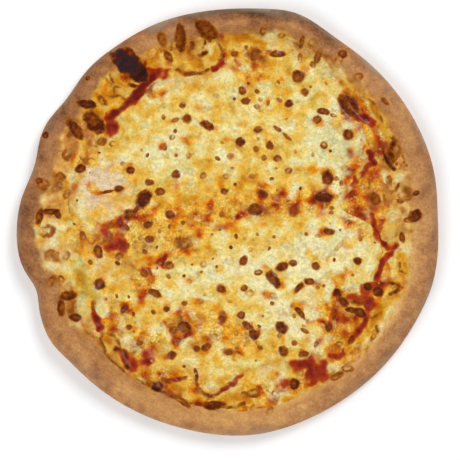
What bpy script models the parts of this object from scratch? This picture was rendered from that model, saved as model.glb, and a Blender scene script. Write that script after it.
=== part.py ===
"""Round cheese pizza, 30 cm across, as baked: dough with a puffed rim, tomato sauce, melted mozzarella.

Metres, +Z up. The origin is on the table, under the middle of the pizza's box. Angles are in degrees,
counted from +X towards +Y, as the pizza is seen from above with +Y away from the viewer.
"""

import math

import bmesh
import bpy
from mathutils import Matrix, Vector, noise
from mathutils.bvhtree import BVHTree

# Dough
EDGE_RADIUS = 0.1483
RIM_WIDTH = 0.025
RIM_HEIGHT = 0.0165
FLOOR_HEIGHT = 0.0045
CREST_INSET = 0.0105
WIDEST_HEIGHT = 0.0065
UNDERCUT = 0.0095
DOUGH_STEPS = 120
DOUGH_RELIEF = 0.0011
DOUGH_RELIEF_SIZE = 0.016

# Swells of the outer edge: angle, size, half width in degrees
EDGE_SWELLS = (
    (2, -0.0018, 9),
    (72, 0.0050, 9),
    (84, 0.0012, 10),
    (125, -0.0020, 12),
    (143, -0.0052, 9),
    (164, -0.0062, 9),
    (187, 0.0012, 8),
    (199.5, -0.0048, 5.5),
    (214, 0.0022, 6),
    (277, 0.0022, 15),
    (342, 0.0010, 8),
)

# Where the rim is wider than at the bottom edge: angle, size, half width in degrees
BASE_RIM_WIDTH = 0.0195
WIDTH_SWELLS = (
    (182, 0.0165, 36),
    (128, 0.0130, 24),
    (8, 0.0140, 28),
    (44, 0.0070, 14),
    (325, 0.0045, 15),
)

# Puffs of the rim's height: angle, size, half width in degrees
HEIGHT_SWELLS = (
    (18, 0.0012, 12),
    (48, -0.0016, 10),
    (72, 0.0022, 9),
    (98, 0.0010, 8),
    (120, 0.0020, 10),
    (146, -0.0018, 8),
    (190, 0.0016, 14),
    (222, 0.0022, 12),
    (252, -0.0012, 12),
    (280, 0.0018, 14),
    (318, -0.0010, 12),
    (338, 0.0014, 10),
)

# Blisters of the dough on the rim: x, y, length, width, height, turn in degrees
DOUGH_BLISTERS = (
    (-0.0160, 0.1338, 0.018, 0.010, 0.0022, -38),
    (-0.0340, 0.1288, 0.018, 0.008, 0.0018, 92),
    (-0.0690, 0.1092, 0.023, 0.015, 0.0034, -42),
    (-0.0992, 0.0820, 0.013, 0.006, 0.0016, -6),
    (-0.1080, 0.0651, 0.017, 0.008, 0.0020, -55),
    (-0.0942, 0.0693, 0.016, 0.011, 0.0024, -50),
    (-0.1182, 0.0312, 0.008, 0.008, 0.0016, 0),
    (-0.1295, 0.0255, 0.011, 0.009, 0.0018, 30),
    (-0.1327, 0.0039, 0.011, 0.006, 0.0016, 80),
    (-0.1270, -0.0070, 0.013, 0.010, 0.0020, 10),
    (-0.1243, -0.0238, 0.012, 0.010, 0.0020, 25),
    (-0.1231, -0.0418, 0.013, 0.009, 0.0020, 40),
    (-0.1150, -0.0580, 0.019, 0.011, 0.0026, 105),
    (0.0839, 0.0815, 0.018, 0.013, 0.0028, -50),
    (0.0772, 0.1134, 0.013, 0.009, 0.0022, 50),
    (0.1148, 0.0483, 0.019, 0.010, 0.0026, 80),
    (0.1266, 0.0158, 0.014, 0.005, 0.0014, 18),
    (0.1301, 0.0035, 0.010, 0.008, 0.0020, 15),
    (0.1121, 0.0809, 0.010, 0.006, 0.0014, -42),
    (0.1024, -0.0784, 0.012, 0.006, 0.0014, 62),
    (-0.0333, -0.1257, 0.017, 0.006, 0.0014, -35),
)

# The domes of blisters and bubbles; how deep a dome's middle lies, as a share of its height
DOME_SEGMENTS = 10
DOME_RINGS = 4
SUNK_SHARE = 0.15

# Tomato sauce
SAUCE_RADIUS = 0.112
SAUCE_THICKNESS = 0.0016
SAUCE_MARGIN = 0.0012
SAUCE_STEPS = 88
SAUCE_WAVE = 0.0016
SAUCE_RINGS = (0.45, 0.75, 0.92)
SAUCE_UNDER_RINGS = (0.5, 0.92)

# Melted cheese
CHEESE_RADIUS = 0.110
CHEESE_THICKNESS = 0.0027
CHEESE_STEPS = 100
CHEESE_WAVE = 0.0028
CHEESE_RELIEF = 0.0007
CHEESE_RELIEF_SIZE = 0.020
CHEESE_RINGS = (0.14, 0.29, 0.43, 0.56, 0.68, 0.79, 0.87, 0.92, 0.965)
CHEESE_UNDER_RINGS = (0.43, 0.79, 0.87, 0.92, 0.965)

# Lobes and bays of the sheet of cheese: angle, size, half width in degrees
CHEESE_LOBES = (
    (8, -0.027, 11),
    (44, 0.004, 8),
    (63, 0.020, 15),
    (87, 0.010, 8),
    (104, -0.005, 8),
    (117, 0.003, 6),
    (140, -0.009, 11),
    (180, 0.011, 20),
    (207, -0.003, 8),
    (226, 0.006, 9),
    (247, 0.005, 8),
    (265, 0.010, 6),
    (286, -0.004, 8),
    (303, 0.009, 6),
    (325, -0.016, 9),
    (350, 0.004, 7),
)

# Thick lumps where whole slices of mozzarella melted: x, y, radius, extra thickness
CHEESE_LUMPS = (
    (0.080, 0.056, 0.022, 0.0012),
    (0.052, -0.042, 0.034, 0.0010),
    (-0.009, -0.110, 0.015, 0.0014),
    (-0.088, 0.018, 0.022, 0.0012),
    (-0.040, 0.086, 0.028, 0.0006),
    (0.078, -0.022, 0.020, 0.0008),
    (-0.050, 0.010, 0.018, -0.0006),
    (-0.078, -0.045, 0.026, -0.0005),
)

# Browned bubbles that stand out on the cheese, each as high as its width times the rise: x, y, length, width, turn in degrees
CHEESE_BUBBLE_RISE = 0.15
CHEESE_BUBBLES = (
    (-0.0690, 0.0357, 0.006, 0.006, 0),
    (-0.0809, 0.0217, 0.014, 0.004, 3),
    (-0.0599, 0.0158, 0.013, 0.0095, 60),
    (-0.0699, 0.0049, 0.009, 0.007, 45),
    (-0.0480, 0.0210, 0.007, 0.006, 10),
    (-0.0412, 0.0049, 0.0065, 0.006, 0),
    (-0.0370, 0.0332, 0.0065, 0.007, 0),
    (-0.0155, 0.0676, 0.010, 0.006, -25),
    (-0.0293, 0.0718, 0.006, 0.006, 0),
    (0.0484, 0.1015, 0.008, 0.009, 20),
    (0.0115, 0.0844, 0.006, 0.006, 0),
    (0.0420, 0.0826, 0.007, 0.0055, 20),
    (0.0659, 0.0771, 0.0085, 0.005, -5),
    (0.0836, 0.0609, 0.007, 0.007, 0),
    (0.0207, 0.0645, 0.0065, 0.005, 10),
    (0.0368, 0.0624, 0.015, 0.004, -38),
    (0.0079, 0.0558, 0.0065, 0.006, 0),
    (0.0286, 0.0532, 0.006, 0.0065, 0),
    (0.0690, 0.0307, 0.011, 0.0085, 85),
    (0.0655, 0.0168, 0.014, 0.009, 0),
    (0.0238, 0.0193, 0.008, 0.006, -40),
    (0.0187, 0.0081, 0.014, 0.0095, -5),
    (0.0454, 0.0076, 0.0095, 0.008, 60),
    (0.0700, -0.0071, 0.007, 0.006, -10),
    (0.0900, -0.0273, 0.0065, 0.006, 0),
    (0.0372, -0.0313, 0.007, 0.0065, 30),
    (0.0102, -0.0272, 0.008, 0.006, 65),
    (0.0310, -0.0403, 0.013, 0.0075, -55),
    (0.0564, -0.0420, 0.009, 0.005, -15),
    (0.0715, -0.0490, 0.012, 0.0060, -55),
    (0.0495, -0.0636, 0.011, 0.0045, -45),
    (0.0367, -0.0742, 0.010, 0.008, -40),
    (0.0176, -0.0790, 0.007, 0.007, 0),
    (0.0382, -0.0907, 0.007, 0.007, 0),
    (0.0521, -0.0929, 0.007, 0.005, 0),
    (-0.0047, -0.0685, 0.006, 0.006, 0),
    (-0.0160, -0.0882, 0.007, 0.006, 30),
    (-0.0314, -0.0739, 0.010, 0.009, 0),
    (-0.0401, -0.0938, 0.0075, 0.0065, 40),
    (-0.0417, -0.0305, 0.007, 0.0065, 0),
    (-0.0519, -0.0503, 0.010, 0.0055, -22),
    (-0.0732, -0.0610, 0.007, 0.0045, 48),
    (-0.0907, -0.0438, 0.008, 0.0077, 0),
    (-0.0915, -0.0210, 0.0085, 0.0065, 20),
    (-0.0767, -0.0241, 0.007, 0.0065, 0),
    (-0.0309, -0.0168, 0.010, 0.007, 0),
)

# The scrap of cheese that lies apart, on the rim's inner slope: middle, half length, half width, turn
SCRAP_MIDDLE = (0.1140, -0.0040)
SCRAP_HALF_LENGTH = 0.0095
SCRAP_HALF_WIDTH = 0.0060
SCRAP_TURN = 70
SCRAP_THICKNESS = 0.0016
SCRAP_STEPS = 28
SCRAP_RINGS = (0.5, 0.85)
SCRAP_UNDER_RINGS = (0.5, 0.85)

# Fits
GAP = 0.0003
FACET_SAMPLES = 5
SETTLING_PASSES = 8
EDGE_LIFT = 0.35
RAY_HEIGHT = 0.1

COLOURS = {
    "dough_crust": ((0.50, 0.25, 0.090), 0.75),
    "tomato_sauce": ((0.42, 0.045, 0.008), 0.35),
    "melted_cheese": ((0.78, 0.58, 0.19), 0.40),
    "cheese_scrap": ((0.66, 0.47, 0.17), 0.45),
}


def clear_scene():
    for thing in list(bpy.data.objects):
        bpy.data.objects.remove(thing)


def new_collection(name):
    collection = bpy.data.collections.new(name)
    bpy.context.scene.collection.children.link(collection)
    return collection


def finish_of(name):
    colour, roughness = COLOURS[name]
    material = bpy.data.materials.new(name)
    material.use_nodes = True
    shader = material.node_tree.nodes["Principled BSDF"]
    shader.inputs["Base Color"].default_value = (*colour, 1)
    shader.inputs["Roughness"].default_value = roughness
    shader.inputs["Metallic"].default_value = 0
    return material


def settled(body):
    """The body with its modifiers applied."""
    bpy.context.view_layer.update()
    graph = bpy.context.evaluated_depsgraph_get()
    mesh = bpy.data.meshes.new_from_object(body.evaluated_get(graph))
    body.modifiers.clear()
    body.data = mesh
    return body


def bell(angle, middle, half_width):
    away = (angle - middle + 180) % 360 - 180
    return math.exp(-((away / half_width) ** 2))


def swelled(angle, mean, swells):
    return mean + sum(size * bell(angle, middle, wide) for middle, size, wide in swells)


def edge_radius(angle):
    return swelled(angle, EDGE_RADIUS, EDGE_SWELLS)


def rim_width(angle):
    return swelled(angle, BASE_RIM_WIDTH, WIDTH_SWELLS)


def rim_height(angle):
    return swelled(angle, RIM_HEIGHT, HEIGHT_SWELLS)


def wave(angle, size, seed):
    """An uneven edge's own small wander, the same after a full turn."""
    turn = math.radians(angle)
    slow = noise.noise(Vector((3 * math.cos(turn), 3 * math.sin(turn), seed)))
    fast = noise.noise(Vector((9 * math.cos(turn), 9 * math.sin(turn), seed)))
    return size * (slow + 0.6 * fast)


def sauce_radius(angle):
    return edge_radius(angle) - rim_width(angle) - SAUCE_MARGIN - abs(wave(angle, SAUCE_WAVE, 5))


def cheese_radius(angle):
    return swelled(angle, CHEESE_RADIUS, CHEESE_LOBES) + wave(angle, CHEESE_WAVE, 11)


def cheese_thickness(x, y):
    spot = Vector((x, y, 0)) / CHEESE_RELIEF_SIZE
    thickness = CHEESE_THICKNESS + CHEESE_RELIEF * noise.noise(spot) + 0.4 * CHEESE_RELIEF * noise.noise(3 * spot)
    for middle_x, middle_y, radius, extra in CHEESE_LUMPS:
        away = math.hypot(x - middle_x, y - middle_y) / radius
        thickness += extra * math.exp(-(away**2))
    return thickness


def turned(name, profile, steps, collection):
    """A closed body turned about Z. The profile of (radius, height) runs out over the top and back below."""
    mesh = bpy.data.meshes.new(name)
    points = [(radius, 0, height) for radius, height in profile]
    mesh.from_pydata(points, [(i, i + 1) for i in range(len(points) - 1)], [])
    body = bpy.data.objects.new(name, mesh)
    collection.objects.link(body)
    screw = body.modifiers.new("turn", "SCREW")
    screw.steps = screw.render_steps = steps
    screw.use_merge_vertices = True
    screw.merge_threshold = 0.00001
    return settled(body)


def arc(count, first=0, last=90):
    """Angles in radians, evenly spaced, with both ends."""
    return [math.radians(first + (last - first) * i / count) for i in range(count + 1)]


def dough_profile():
    slope = [
        (
            EDGE_RADIUS - CREST_INSET - (RIM_WIDTH - CREST_INSET) * share,
            FLOOR_HEIGHT + (RIM_HEIGHT - FLOOR_HEIGHT) * (0.5 + 0.5 * math.cos(math.pi * share)),
        )
        for share in (1, 0.86, 0.72, 0.58, 0.44, 0.30, 0.15)
    ]
    outer = [
        (EDGE_RADIUS - CREST_INSET * (1 - math.sin(a)), WIDEST_HEIGHT + (RIM_HEIGHT - WIDEST_HEIGHT) * math.cos(a))
        for a in arc(6)
    ]
    under = [
        (EDGE_RADIUS - UNDERCUT * (1 - math.cos(a)), WIDEST_HEIGHT * (1 - math.sin(a)))
        for a in arc(4)[1:]
    ]
    return [(0, FLOOR_HEIGHT), *slope, *outer, *under, (0, 0)]


def baked(point):
    """Where a point of the even, turned dough lies on the real, uneven one."""
    radius = math.hypot(point.x, point.y)
    if radius < 1e-6:
        return point.copy()
    angle = math.degrees(math.atan2(point.y, point.x))
    edge = edge_radius(angle)
    width = rim_width(angle)
    inset = EDGE_RADIUS - radius
    if inset <= CREST_INSET:
        new_radius = edge - inset
    elif inset <= RIM_WIDTH:
        stretch = (width - CREST_INSET) / (RIM_WIDTH - CREST_INSET)
        new_radius = edge - CREST_INSET - (inset - CREST_INSET) * stretch
    else:
        new_radius = radius * (edge - width) / (EDGE_RADIUS - RIM_WIDTH)
    height = point.z
    if height > WIDEST_HEIGHT or (height > FLOOR_HEIGHT and inset > CREST_INSET):
        base = WIDEST_HEIGHT if inset <= CREST_INSET else FLOOR_HEIGHT
        height = base + (height - base) * (rim_height(angle) - base) / (RIM_HEIGHT - base)
    place = Vector((point.x, point.y, 0)) * (new_radius / radius)
    place.z = height
    rise = min(1, max(0, (height - WIDEST_HEIGHT) / (RIM_HEIGHT - WIDEST_HEIGHT)))
    spot = place / DOUGH_RELIEF_SIZE
    place.z += DOUGH_RELIEF * rise * (noise.noise(spot) + 0.5 * noise.noise(2.3 * spot))
    return place


def triangulate(mesh):
    shape = bmesh.new()
    shape.from_mesh(mesh)
    bmesh.ops.triangulate(shape, faces=shape.faces)
    shape.to_mesh(mesh)
    shape.free()


def tree_of(body):
    return BVHTree.FromPolygons(
        [v.co.copy() for v in body.data.vertices],
        [tuple(face.vertices) for face in body.data.polygons],
    )


def top_of(trees, x, y):
    """The highest surface of these bodies above a point of the table."""
    hits = [tree.ray_cast(Vector((x, y, RAY_HEIGHT)), Vector((0, 0, -1)))[0] for tree in trees]
    return max(hit.z for hit in hits if hit is not None)


def raised_blister(tree, spot, height, collection):
    """A low dome on the surface: a ball made flat and long, set square to the slope and a little sunk."""
    x, y, length, width, turn = spot
    hit, normal, _, _ = tree.ray_cast(Vector((x, y, RAY_HEIGHT)), Vector((0, 0, -1)))
    mesh = bpy.data.meshes.new("blister")
    shape = bmesh.new()
    bmesh.ops.create_uvsphere(shape, u_segments=DOME_SEGMENTS, v_segments=DOME_RINGS, radius=1)
    lean = Vector((0, 0, 1)).rotation_difference(normal).to_matrix().to_4x4()
    size = Matrix.Diagonal((length / 2, width / 2, height, 1))
    place = Matrix.Translation(hit - normal * height * SUNK_SHARE) @ lean @ Matrix.Rotation(math.radians(turn), 4, "Z") @ size
    bmesh.ops.transform(shape, matrix=place, verts=shape.verts)
    shape.to_mesh(mesh)
    shape.free()
    blister = bpy.data.objects.new("blister", mesh)
    collection.objects.link(blister)


def fused(body, blisters):
    """The body with every blister of the collection joined on, as one solid."""
    join = body.modifiers.new("fuse", "BOOLEAN")
    join.operation = "UNION"
    join.operand_type = "COLLECTION"
    join.collection = blisters
    join.solver = "EXACT"
    settled(body)
    for blister in list(blisters.objects):
        bpy.data.objects.remove(blister)
    bpy.data.collections.remove(blisters)
    return body


def build_dough(collection):
    dough = turned("dough_crust", dough_profile(), DOUGH_STEPS, collection)
    for vertex in dough.data.vertices:
        vertex.co = baked(vertex.co)
    triangulate(dough.data)
    tree = tree_of(dough)
    blisters = new_collection("dough blisters")
    for x, y, length, width, height, turn in DOUGH_BLISTERS:
        raised_blister(tree, (x, y, length, width, turn), height, blisters)
    return fused(dough, blisters)


def sheet_profile(rings, under_rings):
    """A thin sheet of unit radius and unit thickness, with a rounded edge."""
    top = [(ring, 1) for ring in (0, *rings)]
    return [*top, (1, EDGE_LIFT), *[(ring, 0) for ring in reversed(under_rings)], (0, 0)]


def lift_needed(corners, trees):
    """How far a facet has to rise to clear what lies below it."""
    missing = 0
    for i in range(FACET_SAMPLES + 1):
        for j in range(FACET_SAMPLES + 1 - i):
            a, b = i / FACET_SAMPLES, j / FACET_SAMPLES
            spot = corners[0] * a + corners[1] * b + corners[2] * (1 - a - b)
            missing = max(missing, top_of(trees, spot.x, spot.y) + GAP - spot.z)
    return missing


def laid_sheet(name, rings, steps, outline, thickness, supports, collection):
    """A sheet that lies on the supports. outline(angle, share) gives a place, thickness(x, y, share) its depth."""
    sheet = turned(name, sheet_profile(*rings), steps, collection)
    mesh = sheet.data
    triangulate(mesh)
    shares = [math.hypot(v.co.x, v.co.y) for v in mesh.vertices]
    lifts = [v.co.z for v in mesh.vertices]
    for vertex, share in zip(mesh.vertices, shares):
        angle = math.degrees(math.atan2(vertex.co.y, vertex.co.x))
        vertex.co.x, vertex.co.y = outline(angle, share)

    depths = [lift * thickness(v.co.x, v.co.y, share) for v, lift, share in zip(mesh.vertices, lifts, shares)]
    under = [face.vertices[:] for face in mesh.polygons if all(lifts[i] < 0.5 for i in face.vertices)]
    trees = [tree_of(support) for support in supports]
    for vertex, lift, depth in zip(mesh.vertices, lifts, depths):
        if lift < 0.5:
            vertex.co.z = top_of(trees, vertex.co.x, vertex.co.y) + GAP + depth
    for _ in range(SETTLING_PASSES):
        for corners in under:
            missing = lift_needed([mesh.vertices[i].co for i in corners], trees)
            for i in corners:
                mesh.vertices[i].co.z += missing

    bed = BVHTree.FromPolygons([v.co.copy() for v in mesh.vertices], under)
    for vertex, lift, depth in zip(mesh.vertices, lifts, depths):
        if lift > 0.5:
            vertex.co.z = top_of([bed], vertex.co.x, vertex.co.y) + depth
    return sheet


def build_sauce(dough, collection):
    def outline(angle, share):
        radius = share * sauce_radius(angle)
        return radius * math.cos(math.radians(angle)), radius * math.sin(math.radians(angle))

    def thickness(x, y, share):
        spot = Vector((x, y, 0)) / CHEESE_RELIEF_SIZE
        return SAUCE_THICKNESS * (1 - 0.35 * share**6) * (1 + 0.12 * noise.noise(spot))

    return laid_sheet(
        "tomato_sauce", (SAUCE_RINGS, SAUCE_UNDER_RINGS), SAUCE_STEPS, outline, thickness, [dough], collection
    )


def build_cheese(dough, sauce, collection):
    def outline(angle, share):
        spread = cheese_radius(angle) / CHEESE_RADIUS - 1
        radius = share * CHEESE_RADIUS * (1 + spread * share**2)
        return radius * math.cos(math.radians(angle)), radius * math.sin(math.radians(angle))

    def thickness(x, y, share):
        return cheese_thickness(x, y) * (1 - 0.45 * share**8)

    cheese = laid_sheet(
        "melted_cheese",
        (CHEESE_RINGS, CHEESE_UNDER_RINGS),
        CHEESE_STEPS,
        outline,
        thickness,
        [dough, sauce],
        collection,
    )
    tree = tree_of(cheese)
    bubbles = new_collection("cheese bubbles")
    for x, y, length, width, turn in CHEESE_BUBBLES:
        raised_blister(tree, (x, y, length, width, turn), CHEESE_BUBBLE_RISE * width, bubbles)
    return fused(cheese, bubbles)


def build_scrap(dough, sauce, cheese, collection):
    turn = math.radians(SCRAP_TURN)

    def outline(angle, share):
        bend = math.radians(angle)
        reach = share * (1 + wave(angle, 0.22, 23))
        along = reach * SCRAP_HALF_LENGTH * math.cos(bend)
        across = reach * SCRAP_HALF_WIDTH * math.sin(bend)
        return (
            SCRAP_MIDDLE[0] + along * math.cos(turn) - across * math.sin(turn),
            SCRAP_MIDDLE[1] + along * math.sin(turn) + across * math.cos(turn),
        )

    def thickness(x, y, share):
        return SCRAP_THICKNESS * (1 - 0.4 * share**4)

    return laid_sheet(
        "cheese_scrap",
        (SCRAP_RINGS, SCRAP_UNDER_RINGS),
        SCRAP_STEPS,
        outline,
        thickness,
        [dough, sauce, cheese],
        collection,
    )


def centre_on_table(bodies):
    """Moves the whole so that the origin is under the middle of its box."""
    points = [v.co for body in bodies for v in body.data.vertices]
    low_x, high_x = min(p.x for p in points), max(p.x for p in points)
    low_y, high_y = min(p.y for p in points), max(p.y for p in points)
    shift = Matrix.Translation((-(low_x + high_x) / 2, -(low_y + high_y) / 2, 0))
    for body in bodies:
        body.data.transform(shift)


def main():
    clear_scene()
    pizza = new_collection("cheese pizza")
    dough = build_dough(pizza)
    sauce = build_sauce(dough, pizza)
    cheese = build_cheese(dough, sauce, pizza)
    scrap = build_scrap(dough, sauce, cheese, pizza)
    bodies = (dough, sauce, cheese, scrap)
    centre_on_table(bodies)
    for body in bodies:
        body.data.materials.clear()
        body.data.materials.append(finish_of(body.name))
        body.data.shade_smooth()


main()
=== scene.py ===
"""A whole baked cheese pizza, 30 cm across, dressed around its solid model.

Metres, +Z up, +Y towards the top of the picture. Shapes and masks are worked out around the pizza's own
centre, and each finished mesh is then moved onto the frame. Angles are in degrees, from +X towards +Y.
"""

import math

import bpy
import numpy as np
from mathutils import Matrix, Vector, noise


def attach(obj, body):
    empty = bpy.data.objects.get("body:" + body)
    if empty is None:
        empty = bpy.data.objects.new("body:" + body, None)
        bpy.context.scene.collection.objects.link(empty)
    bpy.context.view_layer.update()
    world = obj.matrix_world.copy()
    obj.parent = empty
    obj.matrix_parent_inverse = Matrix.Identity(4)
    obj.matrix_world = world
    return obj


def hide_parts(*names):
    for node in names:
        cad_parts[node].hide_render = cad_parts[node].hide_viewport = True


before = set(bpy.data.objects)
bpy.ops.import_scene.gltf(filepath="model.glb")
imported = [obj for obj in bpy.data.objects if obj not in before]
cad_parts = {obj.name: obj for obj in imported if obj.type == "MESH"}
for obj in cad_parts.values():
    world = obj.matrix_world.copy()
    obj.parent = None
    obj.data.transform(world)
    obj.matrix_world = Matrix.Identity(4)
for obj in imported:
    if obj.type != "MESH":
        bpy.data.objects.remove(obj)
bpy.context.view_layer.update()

bl_info = {
    "name": "Cheese pizza",
    "version": (1, 0, 0),
    "blender": (4, 5, 0),
    "location": "View3D > Sidebar > Pizza",
    "description": "Builds a whole baked cheese pizza around its solid model",
    "category": "Add Mesh",
}

# The dough's form, as in the solid model
EDGE_RADIUS = 0.1483
RIM_WIDTH = 0.025
RIM_HEIGHT = 0.0165
FLOOR_HEIGHT = 0.0045
CREST_INSET = 0.0105
WIDEST_HEIGHT = 0.0065
UNDERCUT = 0.0095
BASE_RIM_WIDTH = 0.0195
DOUGH_RELIEF = 0.0011
DOUGH_RELIEF_SIZE = 0.016
SOLID_STEP = 3

# Swells of the outer edge, of the rim's width and of its height: angle, size, half width in degrees
EDGE_SWELLS = (
    (2, -0.0018, 9), (72, 0.005, 9), (84, 0.0012, 10), (125, -0.002, 12), (143, -0.0052, 9), (164, -0.0062, 9),
    (187, 0.0012, 8), (199.5, -0.0048, 5.5), (214, 0.0022, 6), (277, 0.0022, 15), (342, 0.001, 8),
)
WIDTH_SWELLS = (
    (182, 0.0165, 36), (128, 0.013, 24), (8, 0.014, 28), (44, 0.007, 14), (325, 0.0045, 15),
)
HEIGHT_SWELLS = (
    (18, 0.0012, 12), (48, -0.0016, 10), (72, 0.0022, 9), (98, 0.001, 8), (120, 0.002, 10), (146, -0.0018, 8),
    (190, 0.0016, 14), (222, 0.0022, 12), (252, -0.0012, 12), (280, 0.0018, 14), (318, -0.001, 12), (338, 0.0014, 10),
)

# The smooth baked band outside the topping: its mean width and swells
BAND_WIDTH = 0.0175
BAND_SWELLS = (
    (180, -0.0026, 30), (135, -0.004, 22), (225, 0.005, 16), (95, -0.001, 10), (60, -0.003, 14), (28, -0.0015, 14),
    (358, 0.002, 14), (308, -0.001, 16), (268, 0.0008, 14),
)

# How dark the band is baked: 0 pale, 1 brown
BAND_BAKE = 0.42
BAND_BAKE_SWELLS = (
    (186, 0.26, 22), (145, 0.18, 20), (92, 0.19, 26), (60, 0.06, 14), (228, 0.06, 22), (278, -0.07, 20),
    (318, 0.08, 24), (5, 0.12, 30),
)

# Sheet of cheese
CHEESE_RADIUS = 0.110
CHEESE_LOBES = (
    (8.5, -0.031, 10), (36, 0.006, 5), (48, 0.005, 5), (60, 0.012, 8), (76, 0.02, 12), (88, 0.007, 5),
    (104, -0.006, 7), (141, -0.008, 9), (168, 0.005, 12), (205, -0.002, 10), (229, 0.006, 4), (245, 0.008, 5),
    (265, 0.009, 6), (284, -0.005, 7), (304, 0.006, 5), (325, -0.0195, 8),
)
CHEESE_LUMPS = (
    (0.08, 0.056, 0.022, 0.0012), (0.052, -0.042, 0.034, 0.001), (-0.009, -0.11, 0.015, 0.0014),
    (-0.088, 0.018, 0.022, 0.0012), (-0.04, 0.086, 0.028, 0.0006), (0.078, -0.022, 0.02, 0.0008),
    (-0.05, 0.01, 0.018, -0.0006), (-0.078, -0.045, 0.026, -0.0005),
)
CHEESE_THICKNESS = 0.0027
CHEESE_TAPER = 0.0046
SOFT_TAPER = 0.0095
CRISP_SIDE = (-4, 56)
SCRAP_THICKNESS = 0.0016
SAUCE_THICKNESS = 0.0016
SAUCE_TAPER = 0.0080
SAUCE_CLIMB = 0.0025
LAYER_GAP = 0.0003
EDGE_SINK = 0.0004

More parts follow.
